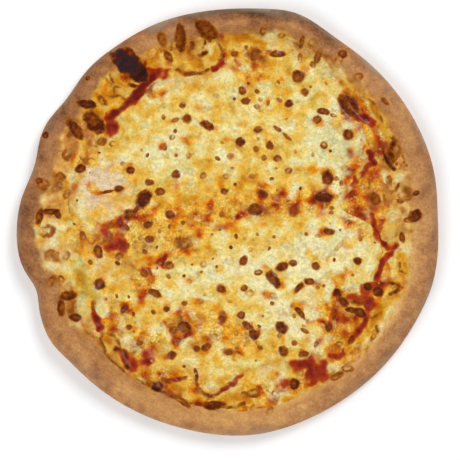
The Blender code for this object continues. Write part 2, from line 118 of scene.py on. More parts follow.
# Browned bubbles on the cheese: x, y, length, width, turn, how dark
CHEESE_BUBBLES = (
    (-0.069, 0.0357, 0.0062, 0.0062, 0, 0.95), (-0.077, 0.0228, 0.007, 0.0048, 8, 0.85),
    (-0.085, 0.021, 0.009, 0.0024, 12, 0.8), (-0.0599, 0.0158, 0.013, 0.0098, 60, 1.0),
    (-0.0648, 0.0085, 0.009, 0.0034, 48, 0.9), (-0.0699, 0.0049, 0.009, 0.0068, 50, 0.85),
    (-0.0557, 0.0276, 0.0066, 0.0058, 0, 0.72), (-0.048, 0.021, 0.0072, 0.006, 10, 0.8),
    (-0.0412, 0.0049, 0.007, 0.006, 0, 0.85), (-0.037, 0.0332, 0.0066, 0.0066, 0, 0.8),
    (-0.018, 0.0322, 0.0056, 0.005, 0, 0.5), (-0.0155, 0.0676, 0.0105, 0.0062, -25, 0.9),
    (-0.0293, 0.0718, 0.007, 0.0066, 0, 0.72), (-0.0375, 0.0712, 0.007, 0.0036, 20, 0.48),
    (-0.0325, 0.0815, 0.005, 0.0048, 0, 0.6), (-0.0032, 0.0214, 0.0056, 0.005, 0, 0.75),
    (-0.0022, 0.0316, 0.005, 0.005, 0, 0.45), (-0.0453, 0.0518, 0.0044, 0.0044, 0, 0.62),
    (-0.0398, 0.059, 0.005, 0.0036, 50, 0.5), (-0.0283, 0.0462, 0.0048, 0.0046, 0, 0.5),
    (0.0484, 0.1015, 0.0086, 0.0092, 20, 0.92), (0.0095, 0.0917, 0.006, 0.006, 0, 0.75),
    (0.0115, 0.0844, 0.0064, 0.0056, 0, 0.78), (0.053, 0.0907, 0.006, 0.006, 0, 0.68),
    (0.042, 0.0826, 0.007, 0.0056, 20, 0.88), (0.035, 0.0852, 0.0056, 0.0036, -30, 0.48),
    (0.0275, 0.0835, 0.0056, 0.003, 80, 0.5), (0.0195, 0.0805, 0.005, 0.0036, -20, 0.48),
    (0.0659, 0.0771, 0.0092, 0.005, -5, 0.9), (0.073, 0.0745, 0.0056, 0.003, -25, 0.62),
    (0.0618, 0.0712, 0.006, 0.0058, 0, 0.85), (0.0836, 0.0609, 0.0074, 0.0074, 0, 0.98),
    (0.0207, 0.0645, 0.007, 0.005, 10, 0.75), (0.034, 0.065, 0.0075, 0.0034, -35, 0.6),
    (0.0405, 0.0595, 0.009, 0.0026, -40, 0.52), (0.0079, 0.0558, 0.0072, 0.0064, 40, 0.88),
    (0.0286, 0.0532, 0.006, 0.0066, 0, 0.75), (0.019, 0.0507, 0.0048, 0.005, 0, 0.62),
    (0.0246, 0.0445, 0.0052, 0.0044, 0, 0.55), (0.034, 0.0442, 0.0058, 0.005, 0, 0.7),
    (0.0664, 0.0534, 0.006, 0.0056, 0, 0.66), (0.0418, 0.0353, 0.0056, 0.0054, 0, 0.62),
    (0.0161, 0.0316, 0.0055, 0.0045, 0, 0.48), (0.069, 0.0307, 0.011, 0.008, 95, 1.0),
    (0.0752, 0.03, 0.0036, 0.0036, 0, 0.5), (0.0655, 0.0168, 0.014, 0.0085, 0, 1.0),
    (0.0715, 0.0062, 0.004, 0.0034, 0, 0.5), (0.0238, 0.0193, 0.0084, 0.0058, -40, 0.8),
    (0.0187, 0.0081, 0.0135, 0.009, -5, 0.9), (0.0454, 0.0076, 0.0095, 0.0076, 60, 0.72),
    (0.0336, 0.0112, 0.0048, 0.004, 0, 0.6), (0.0403, 0.0147, 0.0052, 0.003, 0, 0.6),
    (-0.0417, -0.0305, 0.007, 0.0066, 0, 0.75), (-0.0907, -0.0438, 0.008, 0.0078, 0, 0.96),
    (-0.0519, -0.0503, 0.0105, 0.0052, -25, 0.82), (-0.0732, -0.061, 0.0074, 0.0044, 48, 0.88),
    (-0.0438, -0.061, 0.005, 0.0046, 0, 0.72), (-0.07, -0.0742, 0.004, 0.0036, 0, 0.75),
    (-0.0312, -0.0573, 0.0042, 0.004, 0, 0.6), (-0.0055, -0.0472, 0.0062, 0.006, 0, 0.85),
    (-0.0047, -0.0685, 0.0058, 0.0056, 0, 0.85), (0.0085, -0.0654, 0.0056, 0.0058, 0, 0.8),
    (-0.0314, -0.0739, 0.0098, 0.0088, 0, 0.96), (-0.0391, -0.076, 0.0066, 0.006, 0, 0.78),
    (-0.0345, -0.068, 0.007, 0.005, 60, 0.55), (-0.016, -0.0882, 0.0076, 0.0062, 30, 0.82),
    (-0.0228, -0.0888, 0.0062, 0.006, 0, 0.75), (-0.0401, -0.0938, 0.0076, 0.0062, 40, 0.76),
    (-0.0627, -0.0852, 0.006, 0.0046, 40, 0.62), (-0.0006, -0.0914, 0.0066, 0.0058, 0, 0.66),
    (0.013, -0.0728, 0.0095, 0.0052, -35, 0.76), (0.0176, -0.079, 0.0078, 0.0076, 0, 0.98),
    (0.005, -0.078, 0.004, 0.004, 0, 0.5), (0.02, -0.085, 0.004, 0.0034, 0, 0.45),
    (0.0382, -0.0907, 0.0076, 0.0078, -20, 0.9), (0.0521, -0.0929, 0.0078, 0.005, -5, 0.74),
    (0.0367, -0.0742, 0.0098, 0.008, -40, 1.0), (0.035, -0.08, 0.0044, 0.004, 0, 0.45),
    (0.0455, -0.085, 0.0048, 0.0044, 0, 0.52), (0.053, -0.0765, 0.0068, 0.0034, -25, 0.52),
    (0.061, -0.086, 0.0064, 0.0034, 60, 0.55), (0.0495, -0.0636, 0.0125, 0.004, -48, 0.84),
    (0.0105, -0.0465, 0.0052, 0.0046, 0, 0.78), (0.0145, -0.05, 0.0066, 0.0056, 0, 0.42),
    (0.031, -0.052, 0.006, 0.005, -50, 0.42), (0.037, -0.064, 0.011, 0.005, -20, 0.3),
    (0.07, -0.0071, 0.0078, 0.0054, -10, 0.86), (0.077, -0.017, 0.0115, 0.0042, 50, 0.34),
    (0.062, -0.01, 0.005, 0.0036, 0, 0.36), (0.09, -0.0273, 0.0066, 0.0056, 0, 0.88),
    (0.0918, -0.0122, 0.0034, 0.0034, 0, 0.5), (0.0102, -0.0272, 0.008, 0.0054, 65, 0.78),
    (0.0372, -0.0313, 0.009, 0.0066, 28, 0.92), (0.0447, -0.029, 0.0056, 0.005, 0, 0.82),
    (0.0608, -0.0313, 0.006, 0.0056, 0, 0.8), (0.0207, -0.0356, 0.0062, 0.0044, 20, 0.72),
    (0.031, -0.0403, 0.0145, 0.0072, -55, 1.0), (0.0564, -0.042, 0.0085, 0.0046, -22, 0.9),
    (0.0488, -0.0462, 0.009, 0.0042, 52, 0.88), (0.0622, -0.0462, 0.0034, 0.0034, 0, 0.5),
    (0.0762, -0.05, 0.008, 0.005, -60, 0.95), (0.08, -0.056, 0.01, 0.0058, -40, 0.8),
    (0.0697, -0.0739, 0.0054, 0.007, 20, 0.88), (-0.0915, -0.021, 0.0098, 0.006, 110, 0.82),
    (-0.0767, -0.0241, 0.0076, 0.006, 20, 0.72), (-0.072, -0.0168, 0.0066, 0.005, 60, 0.7),
    (-0.0725, -0.004, 0.0068, 0.0046, -30, 0.74), (-0.083, -0.003, 0.006, 0.004, 30, 0.62),
    (-0.084, -0.009, 0.006, 0.006, 0, 0.6), (-0.0557, -0.0123, 0.007, 0.0056, 10, 0.7),
    (-0.0566, -0.0021, 0.007, 0.0052, 25, 0.78), (-0.0592, -0.021, 0.0054, 0.004, -40, 0.62),
    (-0.078, -0.029, 0.004, 0.0034, 0, 0.82), (-0.0309, -0.0168, 0.0105, 0.0066, 20, 0.6),
    (-0.0592, -0.0364, 0.0068, 0.007, 0, 0.68), (-0.102, -0.01, 0.008, 0.0046, -60, 0.66),
    (-0.095, -0.057, 0.004, 0.0036, 0, 0.4), (-0.028, -0.042, 0.005, 0.004, 0, 0.4),
    (-0.018, -0.03, 0.005, 0.005, 0, 0.44), (-0.02, -0.056, 0.006, 0.005, 0, 0.4),
    (-0.01, -0.08, 0.005, 0.0044, 0, 0.4), (-0.005, 0.005, 0.006, 0.005, 0, 0.5),
    (0.001, 0.046, 0.005, 0.0044, 0, 0.4), (-0.009, 0.088, 0.005, 0.0044, 0, 0.34),
)

# Blisters of the rim and its inner slope: x, y, length, width, turn, how dark, how high
RIM_BLISTERS = (
    (-0.016, 0.1338, 0.018, 0.0102, -38, 0.82, 0.0022), (-0.034, 0.1288, 0.0185, 0.0076, 92, 0.8, 0.0018),
    (-0.0427, 0.1159, 0.0095, 0.005, -58, 0.72, 0.0009), (-0.0465, 0.1274, 0.011, 0.007, -70, 0.62, 0.0006),
    (-0.0706, 0.1106, 0.023, 0.0136, -38, 1.36, 0.0024), (-0.064, 0.1046, 0.0166, 0.0118, -42, 1.28, 0.0028),
    (-0.069, 0.1165, 0.01, 0.006, -60, 1.14, 0.001), (-0.0992, 0.082, 0.013, 0.0056, -8, 1.1, 0.0016),
    (-0.108, 0.0651, 0.017, 0.0072, -55, 0.9, 0.002), (-0.0942, 0.0693, 0.0165, 0.011, -50, 0.95, 0.0024),
    (-0.0886, 0.0847, 0.0095, 0.005, -52, 0.62, 0.001), (-0.0893, 0.056, 0.007, 0.0066, 0, 0.55, 0.001),
    (-0.082, 0.0545, 0.005, 0.005, 0, 0.42, 0.0008), (-0.113, 0.047, 0.01, 0.007, 70, 0.55, 0.0008),
    (-0.104, 0.0371, 0.0075, 0.006, 20, 0.85, 0.001), (-0.1182, 0.0312, 0.0078, 0.007, 0, 0.6, 0.0014),
    (-0.1295, 0.0255, 0.0105, 0.0086, 20, 0.58, 0.0018), (-0.132, 0.028, 0.006, 0.0046, -30, 0.85, 0.0008),
    (-0.114, 0.019, 0.008, 0.006, 60, 0.4, 0.0008), (-0.1322, 0.0035, 0.011, 0.0048, 75, 0.85, 0.0012),
    (-0.1245, 0.007, 0.012, 0.0042, 5, 0.9, 0.001), (-0.12, 0.005, 0.006, 0.004, -60, 0.84, 0.0008),
    (-0.127, -0.007, 0.012, 0.0096, 10, 0.5, 0.002), (-0.1243, -0.0238, 0.0115, 0.0096, 25, 0.4, 0.002),
    (-0.114, -0.024, 0.008, 0.005, 60, 0.36, 0.001), (-0.124, -0.0418, 0.011, 0.006, 55, 0.62, 0.0016),
    (-0.1175, -0.04, 0.006, 0.0046, -60, 0.56, 0.001), (-0.113, -0.052, 0.011, 0.007, 10, 0.82, 0.0018),
    (-0.1172, -0.06, 0.0125, 0.0048, 95, 0.82, 0.0014), (-0.108, -0.0672, 0.008, 0.0058, -10, 0.86, 0.0012),
    (-0.111, -0.06, 0.006, 0.004, 40, 0.5, 0.0008), (0.0839, 0.0815, 0.0175, 0.012, -55, 0.88, 0.0028),
    (0.079, 0.1165, 0.007, 0.006, 30, 0.84, 0.0014), (0.076, 0.112, 0.011, 0.0076, 50, 0.42, 0.002),
    (0.0623, 0.1159, 0.011, 0.0045, 70, 0.62, 0.001), (0.059, 0.11, 0.005, 0.005, 0, 0.5, 0.0006),
    (0.0508, 0.1257, 0.009, 0.0036, 80, 0.66, 0.0006), (0.05, 0.115, 0.008, 0.0034, 85, 0.48, 0.0006),
    (0.058, 0.125, 0.008, 0.006, 40, 0.36, 0.0006), (0.024, 0.134, 0.008, 0.005, 70, 0.48, 0.0006),
    (0.037, 0.1305, 0.006, 0.004, 0, 0.45, 0.0005), (0.09, 0.101, 0.008, 0.006, 0, 0.52, 0.001),
    (0.1155, 0.0483, 0.019, 0.01, 78, 0.52, 0.0028), (0.104, 0.048, 0.006, 0.0048, 30, 0.62, 0.0008),
    (0.1024, 0.0158, 0.01, 0.008, -50, 0.7, 0.0014), (0.13, 0.02, 0.0046, 0.004, 0, 0.92, 0.0006),
    (0.12, 0.0275, 0.013, 0.009, -20, 0.12, 0.002), (0.1275, 0.025, 0.008, 0.012, 0, 0.1, 0.0014),
    (0.1185, 0.04, 0.012, 0.008, 60, 0.12, 0.0016), (0.125, -0.0045, 0.012, 0.006, 10, 0.1, 0.0016),
    (0.116, -0.017, 0.01, 0.006, 60, 0.12, 0.0012), (-0.12, -0.015, 0.012, 0.008, 80, 0.12, 0.0016),
    (-0.116, -0.033, 0.011, 0.007, 70, 0.12, 0.0014), (-0.121, 0.019, 0.011, 0.008, 60, 0.12, 0.0014),
    (0.125, 0.017, 0.01, 0.0026, 18, 0.5, 0.0008), (0.12, 0.0145, 0.0052, 0.0036, 0, 0.62, 0.0006),
    (0.1301, 0.004, 0.0094, 0.008, 25, 0.94, 0.0018), (0.1245, 0.001, 0.005, 0.004, 0, 0.6, 0.0006),
    (0.1121, 0.0294, 0.006, 0.007, 0, 0.52, 0.001), (0.1215, -0.0115, 0.008, 0.004, 100, 0.68, 0.0008),
    (0.0972, -0.0456, 0.006, 0.0056, 0, 0.95, 0.0008), (0.1044, -0.049, 0.0078, 0.0064, -50, 0.92, 0.0012),
    (0.1178, -0.0467, 0.007, 0.0056, 0, 0.34, 0.001), (0.092, -0.064, 0.0085, 0.0062, -30, 0.9, 0.001),
    (0.086, -0.062, 0.008, 0.004, -8, 0.84, 0.0006), (0.074, -0.065, 0.009, 0.0036, 80, 0.74, 0.0006),
    (0.086, -0.0826, 0.0072, 0.0042, 60, 0.8, 0.0008), (0.077, -0.086, 0.008, 0.0046, 10, 0.5, 0.0006),
    (0.1024, -0.0784, 0.013, 0.004, 62, 0.4, 0.001), (0.083, -0.103, 0.009, 0.0052, 10, 0.5, 0.001),
    (0.076, -0.108, 0.011, 0.005, 25, 0.56, 0.001), (0.0459, -0.114, 0.0068, 0.0072, 0, 1.0, 0.0008),
    (0.0494, -0.1057, 0.0074, 0.0074, 0, 0.34, 0.0014), (0.0172, -0.1204, 0.01, 0.007, 0, 0.58, 0.0008),
    (0.011, -0.1215, 0.006, 0.005, 0, 0.52, 0.0006), (0.0284, -0.1323, 0.0072, 0.005, 55, 0.36, 0.001),
    (-0.0109, -0.1288, 0.015, 0.006, 5, 0.88, 0.001), (-0.0333, -0.1257, 0.016, 0.0042, -35, 0.6, 0.0012),
    (-0.0504, -0.116, 0.0086, 0.007, 0, 1.0, 0.001), (0.034, 0.1175, 0.011, 0.0046, 0, 0.78, 0.0008),
    (0.0185, 0.117, 0.008, 0.011, -20, 0.7, 0.0008), (0.004, 0.1175, 0.005, 0.0046, 0, 0.66, 0.0006),
    (0.109, 0.0835, 0.0085, 0.0036, -42, 0.66, 0.0006), (-0.1281, 0.0606, 0.005, 0.0046, 60, 1.05, 0.0004),
    (-0.0985, 0.1, 0.0036, 0.0034, 0, 0.85, 0.0003), (-0.117, 0.08, 0.0036, 0.0036, 0, 0.6, 0.0003),
    (0.083, 0.12, 0.003, 0.003, 0, 0.5, 0.0003),
)

ALL_BUBBLES = CHEESE_BUBBLES + RIM_BLISTERS

# How dark a blister has to be to count as dark, and as charred
DARK_BLISTER = 0.74
CHARRED = 1.2

# How far off the nearest bubble's middle is where there is none, with 1 at a bubble's edge
FAR_AWAY = 2.0

# What the patches of gold and of orange are added to
EVEN_GOLD = 0.40
EVEN_ORANGE = 0.10

# Soft patches of tone: x, y, length, width, turn, strength
GOLD_PATCHES = (
    (0.08, 0.06, 0.056, 0.052, 60, -0.64), (0.095, 0.056, 0.026, 0.03, 0, -0.3),
    (-0.093, 0.025, 0.044, 0.036, 20, -0.38), (0.05, -0.042, 0.086, 0.076, 20, -0.44),
    (0.07, -0.02, 0.05, 0.04, 0, -0.2), (-0.01, -0.109, 0.032, 0.02, 25, -0.08),
    (-0.045, 0.096, 0.052, 0.018, 18, -0.34), (-0.001, 0.102, 0.018, 0.024, 60, -0.34),
    (0.062, 0.09, 0.046, 0.03, -20, -0.06), (-0.038, -0.056, 0.024, 0.02, 60, -0.3),
    (-0.09, -0.064, 0.014, 0.026, 10, -0.34), (0.0, -0.035, 0.06, 0.026, 20, -0.26),
    (-0.035, 0.056, 0.03, 0.024, 0, -0.14), (0.015, 0.075, 0.046, 0.04, 0, -0.16),
    (-0.042, 0.05, 0.062, 0.046, 0, -0.2), (-0.01, 0.014, 0.08, 0.034, 10, 0.22), (-0.035, 0.008, 0.04, 0.03, 0, 0.2),
    (-0.075, -0.048, 0.04, 0.032, 0, 0.22), (-0.105, 0.04, 0.016, 0.026, 0, 0.3),
    (-0.113, 0.012, 0.016, 0.024, 0, 0.34), (-0.085, 0.098, 0.076, 0.04, 50, 0.4),
    (-0.035, 0.119, 0.06, 0.03, 8, 0.58), (-0.078, -0.096, 0.036, 0.016, -48, 0.34),
    (-0.042, -0.116, 0.056, 0.016, -20, 0.3), (0.1085, -0.059, 0.01, 0.026, -30, 0.6),
    (0.098, -0.079, 0.011, 0.026, -42, 0.5), (0.056, -0.126, 0.036, 0.01, 22, 0.5),
    (0.112, 0.064, 0.016, 0.04, 28, 0.5), (0.025, 0.093, 0.05, 0.03, 0, 0.12), (0.1145, -0.004, 0.02, 0.03, 20, 0.06),
    (-0.123, -0.013, 0.024, 0.05, 0, -0.34), (0.124, 0.018, 0.02, 0.044, 0, -0.22),
    (0.1175, -0.069, 0.011, 0.04, -30, -0.4), (0.033, -0.126, 0.03, 0.012, 15, -0.2),
)
ORANGE_PATCHES = (
    (0.0, 0.01, 0.1, 0.03, 8, 0.44), (0.046, 0.012, 0.044, 0.018, 0, 0.68), (-0.083, -0.012, 0.044, 0.034, 0, 0.46),
    (-0.048, -0.008, 0.044, 0.04, 0, 0.3), (-0.025, -0.014, 0.04, 0.024, 0, 0.32),
    (-0.076, -0.068, 0.028, 0.024, 0, 0.56), (-0.06, -0.088, 0.026, 0.024, 0, 0.62),
    (-0.026, -0.072, 0.05, 0.03, 10, 0.5), (0.006, -0.082, 0.034, 0.026, 0, 0.42),
    (0.017, 0.111, 0.022, 0.026, 0, 0.6), (-0.002, 0.115, 0.014, 0.016, 0, 0.4), (-0.05, 0.088, 0.014, 0.016, 0, 0.3),
    (-0.092, 0.042, 0.018, 0.016, 0, 0.16), (-0.093, 0.0207, 0.008, 0.005, 0, 0.6),
    (-0.066, 0.004, 0.03, 0.01, 10, 0.3), (-0.056, -0.04, 0.02, 0.03, -30, 0.4), (-0.07, -0.042, 0.03, 0.03, 0, 0.16),
    (0.098, 0.024, 0.044, 0.056, 0, 0.75), (0.096, 0.002, 0.026, 0.024, 0, 0.6),
    (0.106, 0.062, 0.026, 0.048, 30, 0.92), (0.098, 0.086, 0.024, 0.036, 45, 0.56),
    (0.112, -0.036, 0.024, 0.042, 0, 0.62), (0.086, -0.07, 0.052, 0.062, 30, 0.68),
    (0.105, -0.062, 0.02, 0.028, 60, 0.35), (0.03, -0.122, 0.07, 0.03, 10, 0.3),
    (0.008, -0.124, 0.05, 0.026, 0, 0.22), (-0.038, -0.115, 0.056, 0.024, -20, 0.62),
    (-0.073, -0.103, 0.03, 0.02, -45, 0.45), (-0.092, -0.08, 0.02, 0.03, 30, 0.45),
    (0.065, -0.115, 0.036, 0.024, 30, 0.5), (-0.085, 0.098, 0.078, 0.04, 48, 0.25),
    (-0.035, 0.118, 0.06, 0.032, 10, 0.4), (-0.107, 0.056, 0.036, 0.03, -50, 0.46),
    (-0.115, 0.03, 0.02, 0.03, 0, 0.22), (-0.106, -0.01, 0.014, 0.024, 0, 0.3),
    (-0.119, -0.056, 0.024, 0.03, 0, 0.36), (-0.124, 0.01, 0.02, 0.03, 0, 0.14),
    (0.1145, -0.004, 0.017, 0.024, 20, -0.4),
)

# The most orange that patches add up to, and how much bare sauce shows there
MOST_ORANGE = 0.78
BARE_SAUCE = 0.24

# Diffuse browning in the cheese and the film round it
BROWN_PATCHES = (
    (0.019, 0.115, 0.014, 0.02, 70, 0.34), (-0.0309, -0.014, 0.018, 0.012, 20, 0.36),
    (-0.06, -0.018, 0.02, 0.014, 0, 0.24), (-0.035, -0.074, 0.02, 0.015, 0, 0.28),
    (-0.02, -0.085, 0.022, 0.012, 20, 0.24), (0.012, -0.074, 0.02, 0.012, -30, 0.22),
    (-0.066, -0.088, 0.016, 0.012, 0, 0.22), (0.02, 0.008, 0.026, 0.014, 0, 0.26),
    (-0.09, -0.015, 0.024, 0.018, 0, 0.22), (-0.114, -0.058, 0.016, 0.026, 10, 0.3),
    (-0.015, -0.129, 0.03, 0.008, 2, 0.3), (-0.052, -0.115, 0.016, 0.01, -28, 0.34),
    (-0.07, -0.03, 0.016, 0.012, 0, 0.22), (-0.048, -0.09, 0.016, 0.012, 0, 0.22),
    (0.085, -0.064, 0.026, 0.012, -30, 0.22), (0.082, -0.078, 0.02, 0.02, 0, 0.08),
    (-0.078, 0.098, 0.02, 0.018, 40, 0.2), (-0.03, 0.123, 0.026, 0.02, 0, 0.26), (0.109, 0.045, 0.02, 0.026, 0, 0.22),
)

# Toasted places of the slope and the bays, tan to light brown
TOAST_PATCHES = (
    (0.122, 0.03, 0.024, 0.056, 8, 0.46), (0.124, -0.005, 0.016, 0.036, -8, 0.36),
    (0.106, 0.062, 0.024, 0.044, 30, 0.1), (0.104, 0.02, 0.024, 0.044, 0, 0.2), (-0.085, 0.098, 0.08, 0.04, 48, 0.06),
    (-0.035, 0.12, 0.06, 0.028, 10, 0.22), (-0.108, 0.062, 0.04, 0.03, -58, 0.46),
    (-0.123, 0.025, 0.024, 0.05, 0, 0.48), (-0.125, -0.025, 0.018, 0.05, 0, 0.28),
    (-0.116, -0.056, 0.022, 0.03, 20, 0.5), (0.082, 0.104, 0.04, 0.016, -46, 0.4),
    (0.056, 0.12, 0.036, 0.012, -25, 0.46), (0.04, 0.123, 0.04, 0.01, -12, 0.3),
    (-0.104, 0.086, 0.024, 0.012, 45, 0.24), (-0.12, 0.042, 0.016, 0.03, 10, 0.24),
    (0.114, -0.036, 0.016, 0.036, 0, 0.36), (0.108, -0.07, 0.014, 0.04, -32, 0.04),
    (0.082, -0.104, 0.026, 0.012, 25, 0.44), (0.02, -0.123, 0.056, 0.018, 2, 0.1),
    (-0.038, -0.12, 0.056, 0.016, -20, 0.22), (-0.074, -0.102, 0.036, 0.016, -45, 0.26),
    (-0.096, -0.076, 0.014, 0.03, 25, 0.34), (-0.116, -0.023, 0.016, 0.016, 0, 0.4),
)

# Cheese that leans to olive green, or where the strength is below 0, to pink
TINT_PATCHES = (
    (-0.099, -0.05, 0.014, 0.038, 14, 0.62), (-0.106, -0.025, 0.012, 0.026, 0, 0.36),
    (-0.103, 0.012, 0.01, 0.026, 0, 0.3), (0.082, 0.056, 0.044, 0.046, 0, 0.46), (0.088, 0.044, 0.02, 0.012, 0, 0.4),
    (0.072, -0.012, 0.024, 0.012, 20, 0.26), (0.02, 0.096, 0.04, 0.016, 0, 0.22),
    (-0.028, 0.046, 0.04, 0.02, 20, 0.22), (0.118, -0.002, 0.02, 0.026, 0, 0.4), (0.042, 0.048, 0.03, 0.02, 0, 0.16),
    (-0.09, 0.022, 0.05, 0.04, 20, -0.74), (0.06, 0.096, 0.05, 0.03, -25, 0.3), (-0.033, 0.101, 0.05, 0.014, 8, -0.4),
    (-0.085, -0.078, 0.014, 0.026, 20, -0.5), (-0.03, -0.103, 0.03, 0.01, 0, -0.4),
    (0.03, -0.102, 0.024, 0.01, 20, -0.45), (0.056, -0.088, 0.03, 0.012, 0, -0.2),
    (-0.07, -0.035, 0.04, 0.02, 0, -0.3), (-0.09, -0.028, 0.01, 0.024, 0, -0.5),
)

# The most toast that patches add up to
MOST_TOAST = 0.52

# The small blisters of the oily places: the size of a cell and the share of cells that hold one
FROTH_SIZE = 0.0074
FROTH_SHARE = 0.42

# Strokes of bare sauce round the cheese: width, strength, then the points of the line
SAUCE_STROKES = (
    (0.0062, 1.06, (-0.0823, 0.063), (-0.0844, 0.0714)),
    (0.0044, 1.12, (-0.0844, 0.0714), (-0.0781, 0.0784), (-0.0683, 0.0847), (-0.0606, 0.0931), (-0.054, 0.1015),
     (-0.0543, 0.1064)), (0.0056, 0.85, (-0.0543, 0.105), (-0.0452, 0.1036)),
    (0.003, 0.46, (-0.044, 0.106), (-0.0312, 0.105), (-0.0158, 0.105), (-0.0095, 0.1078)),
    (0.0034, 0.9, (-0.011, 0.107), (-0.0046, 0.1113)),
    (0.0058, 0.95, (0.09, 0.0735), (0.0935, 0.0735), (0.0998, 0.07)),
    (0.0048, 0.95, (0.0998, 0.0483), (0.1012, 0.0413)),
    (0.0042, 0.75, (0.1012, 0.0413), (0.0963, 0.0371), (0.089, 0.029)),
    (0.003, 0.62, (0.089, 0.029), (0.0865, 0.0249), (0.0802, 0.0168)), (0.003, 0.55, (0.102, 0.038), (0.105, 0.033)),
    (0.003, 0.8, (0.1, 0.005), (0.1023, -0.0028), (0.103, -0.0088)),
    (0.0044, 0.85, (0.103, -0.0088), (0.1066, -0.0137), (0.1124, -0.0181), (0.1166, -0.0166)),
    (0.0036, 0.9, (0.1145, -0.0217), (0.1082, -0.0273), (0.1052, -0.0329), (0.1037, -0.0399)),
    (0.007, 0.85, (0.0966, -0.047), (0.098, -0.054), (0.0995, -0.06), (0.1, -0.064)),
    (0.0048, 0.72, (0.086, -0.054), (0.096, -0.056)), (0.005, 0.8, (0.0988, -0.0669), (0.0937, -0.0741)),
    (0.0046, 0.8, (0.0937, -0.0741), (0.0902, -0.0812), (0.0866, -0.0882), (0.0781, -0.0938), (0.0702, -0.0945)),
    (0.0056, 0.7, (0.074, -0.064), (0.072, -0.072)), (0.0056, 0.62, (0.079, -0.069), (0.083, -0.07)),
    (0.012, 0.84, (0.06, -0.101), (0.061, -0.109)), (0.008, 0.86, (0.064, -0.101), (0.065, -0.106)),
    (0.006, 0.9, (0.045, -0.101), (0.056, -0.1)), (0.008, 0.66, (0.037, -0.115), (0.039, -0.115)),
    (0.0046, 0.92, (-0.079, -0.09), (-0.0745, -0.0915), (-0.0718, -0.098)),
    (0.0086, 0.76, (-0.07, -0.099), (-0.065, -0.0985), (-0.0571, -0.0955)),
    (0.0024, 0.6, (-0.0948, -0.058), (-0.0945, -0.066)),
    (0.004, 1.0, (-0.0945, -0.066), (-0.0925, -0.07), (-0.0902, -0.0744)),
    (0.012, 0.7, (-0.085, -0.006), (-0.083, -0.015)), (0.006, 0.66, (-0.088, -0.004), (-0.09, -0.01)),
    (0.0056, 0.66, (-0.076, -0.011), (-0.074, -0.018)),
    (0.0032, 0.8, (-0.005, -0.118), (0.0029, -0.1134), (0.0088, -0.108)),
    (0.0028, 0.7, (-0.05, -0.1125), (-0.042, -0.1115), (-0.0298, -0.11)),
    (0.0026, 0.62, (-0.024, -0.11), (-0.0225, -0.116)), (0.0044, 0.55, (-0.102, -0.0085), (-0.099, -0.014)),
    (0.005, 0.5, (0.018, 0.108), (0.023, 0.105)), (0.004, 0.5, (0.004, 0.118), (0.007, 0.111)),
    (0.005, 0.45, (-0.06, -0.033), (-0.057, -0.039)), (0.004, 0.42, (-0.068, 0.006), (-0.076, 0.008)),
)

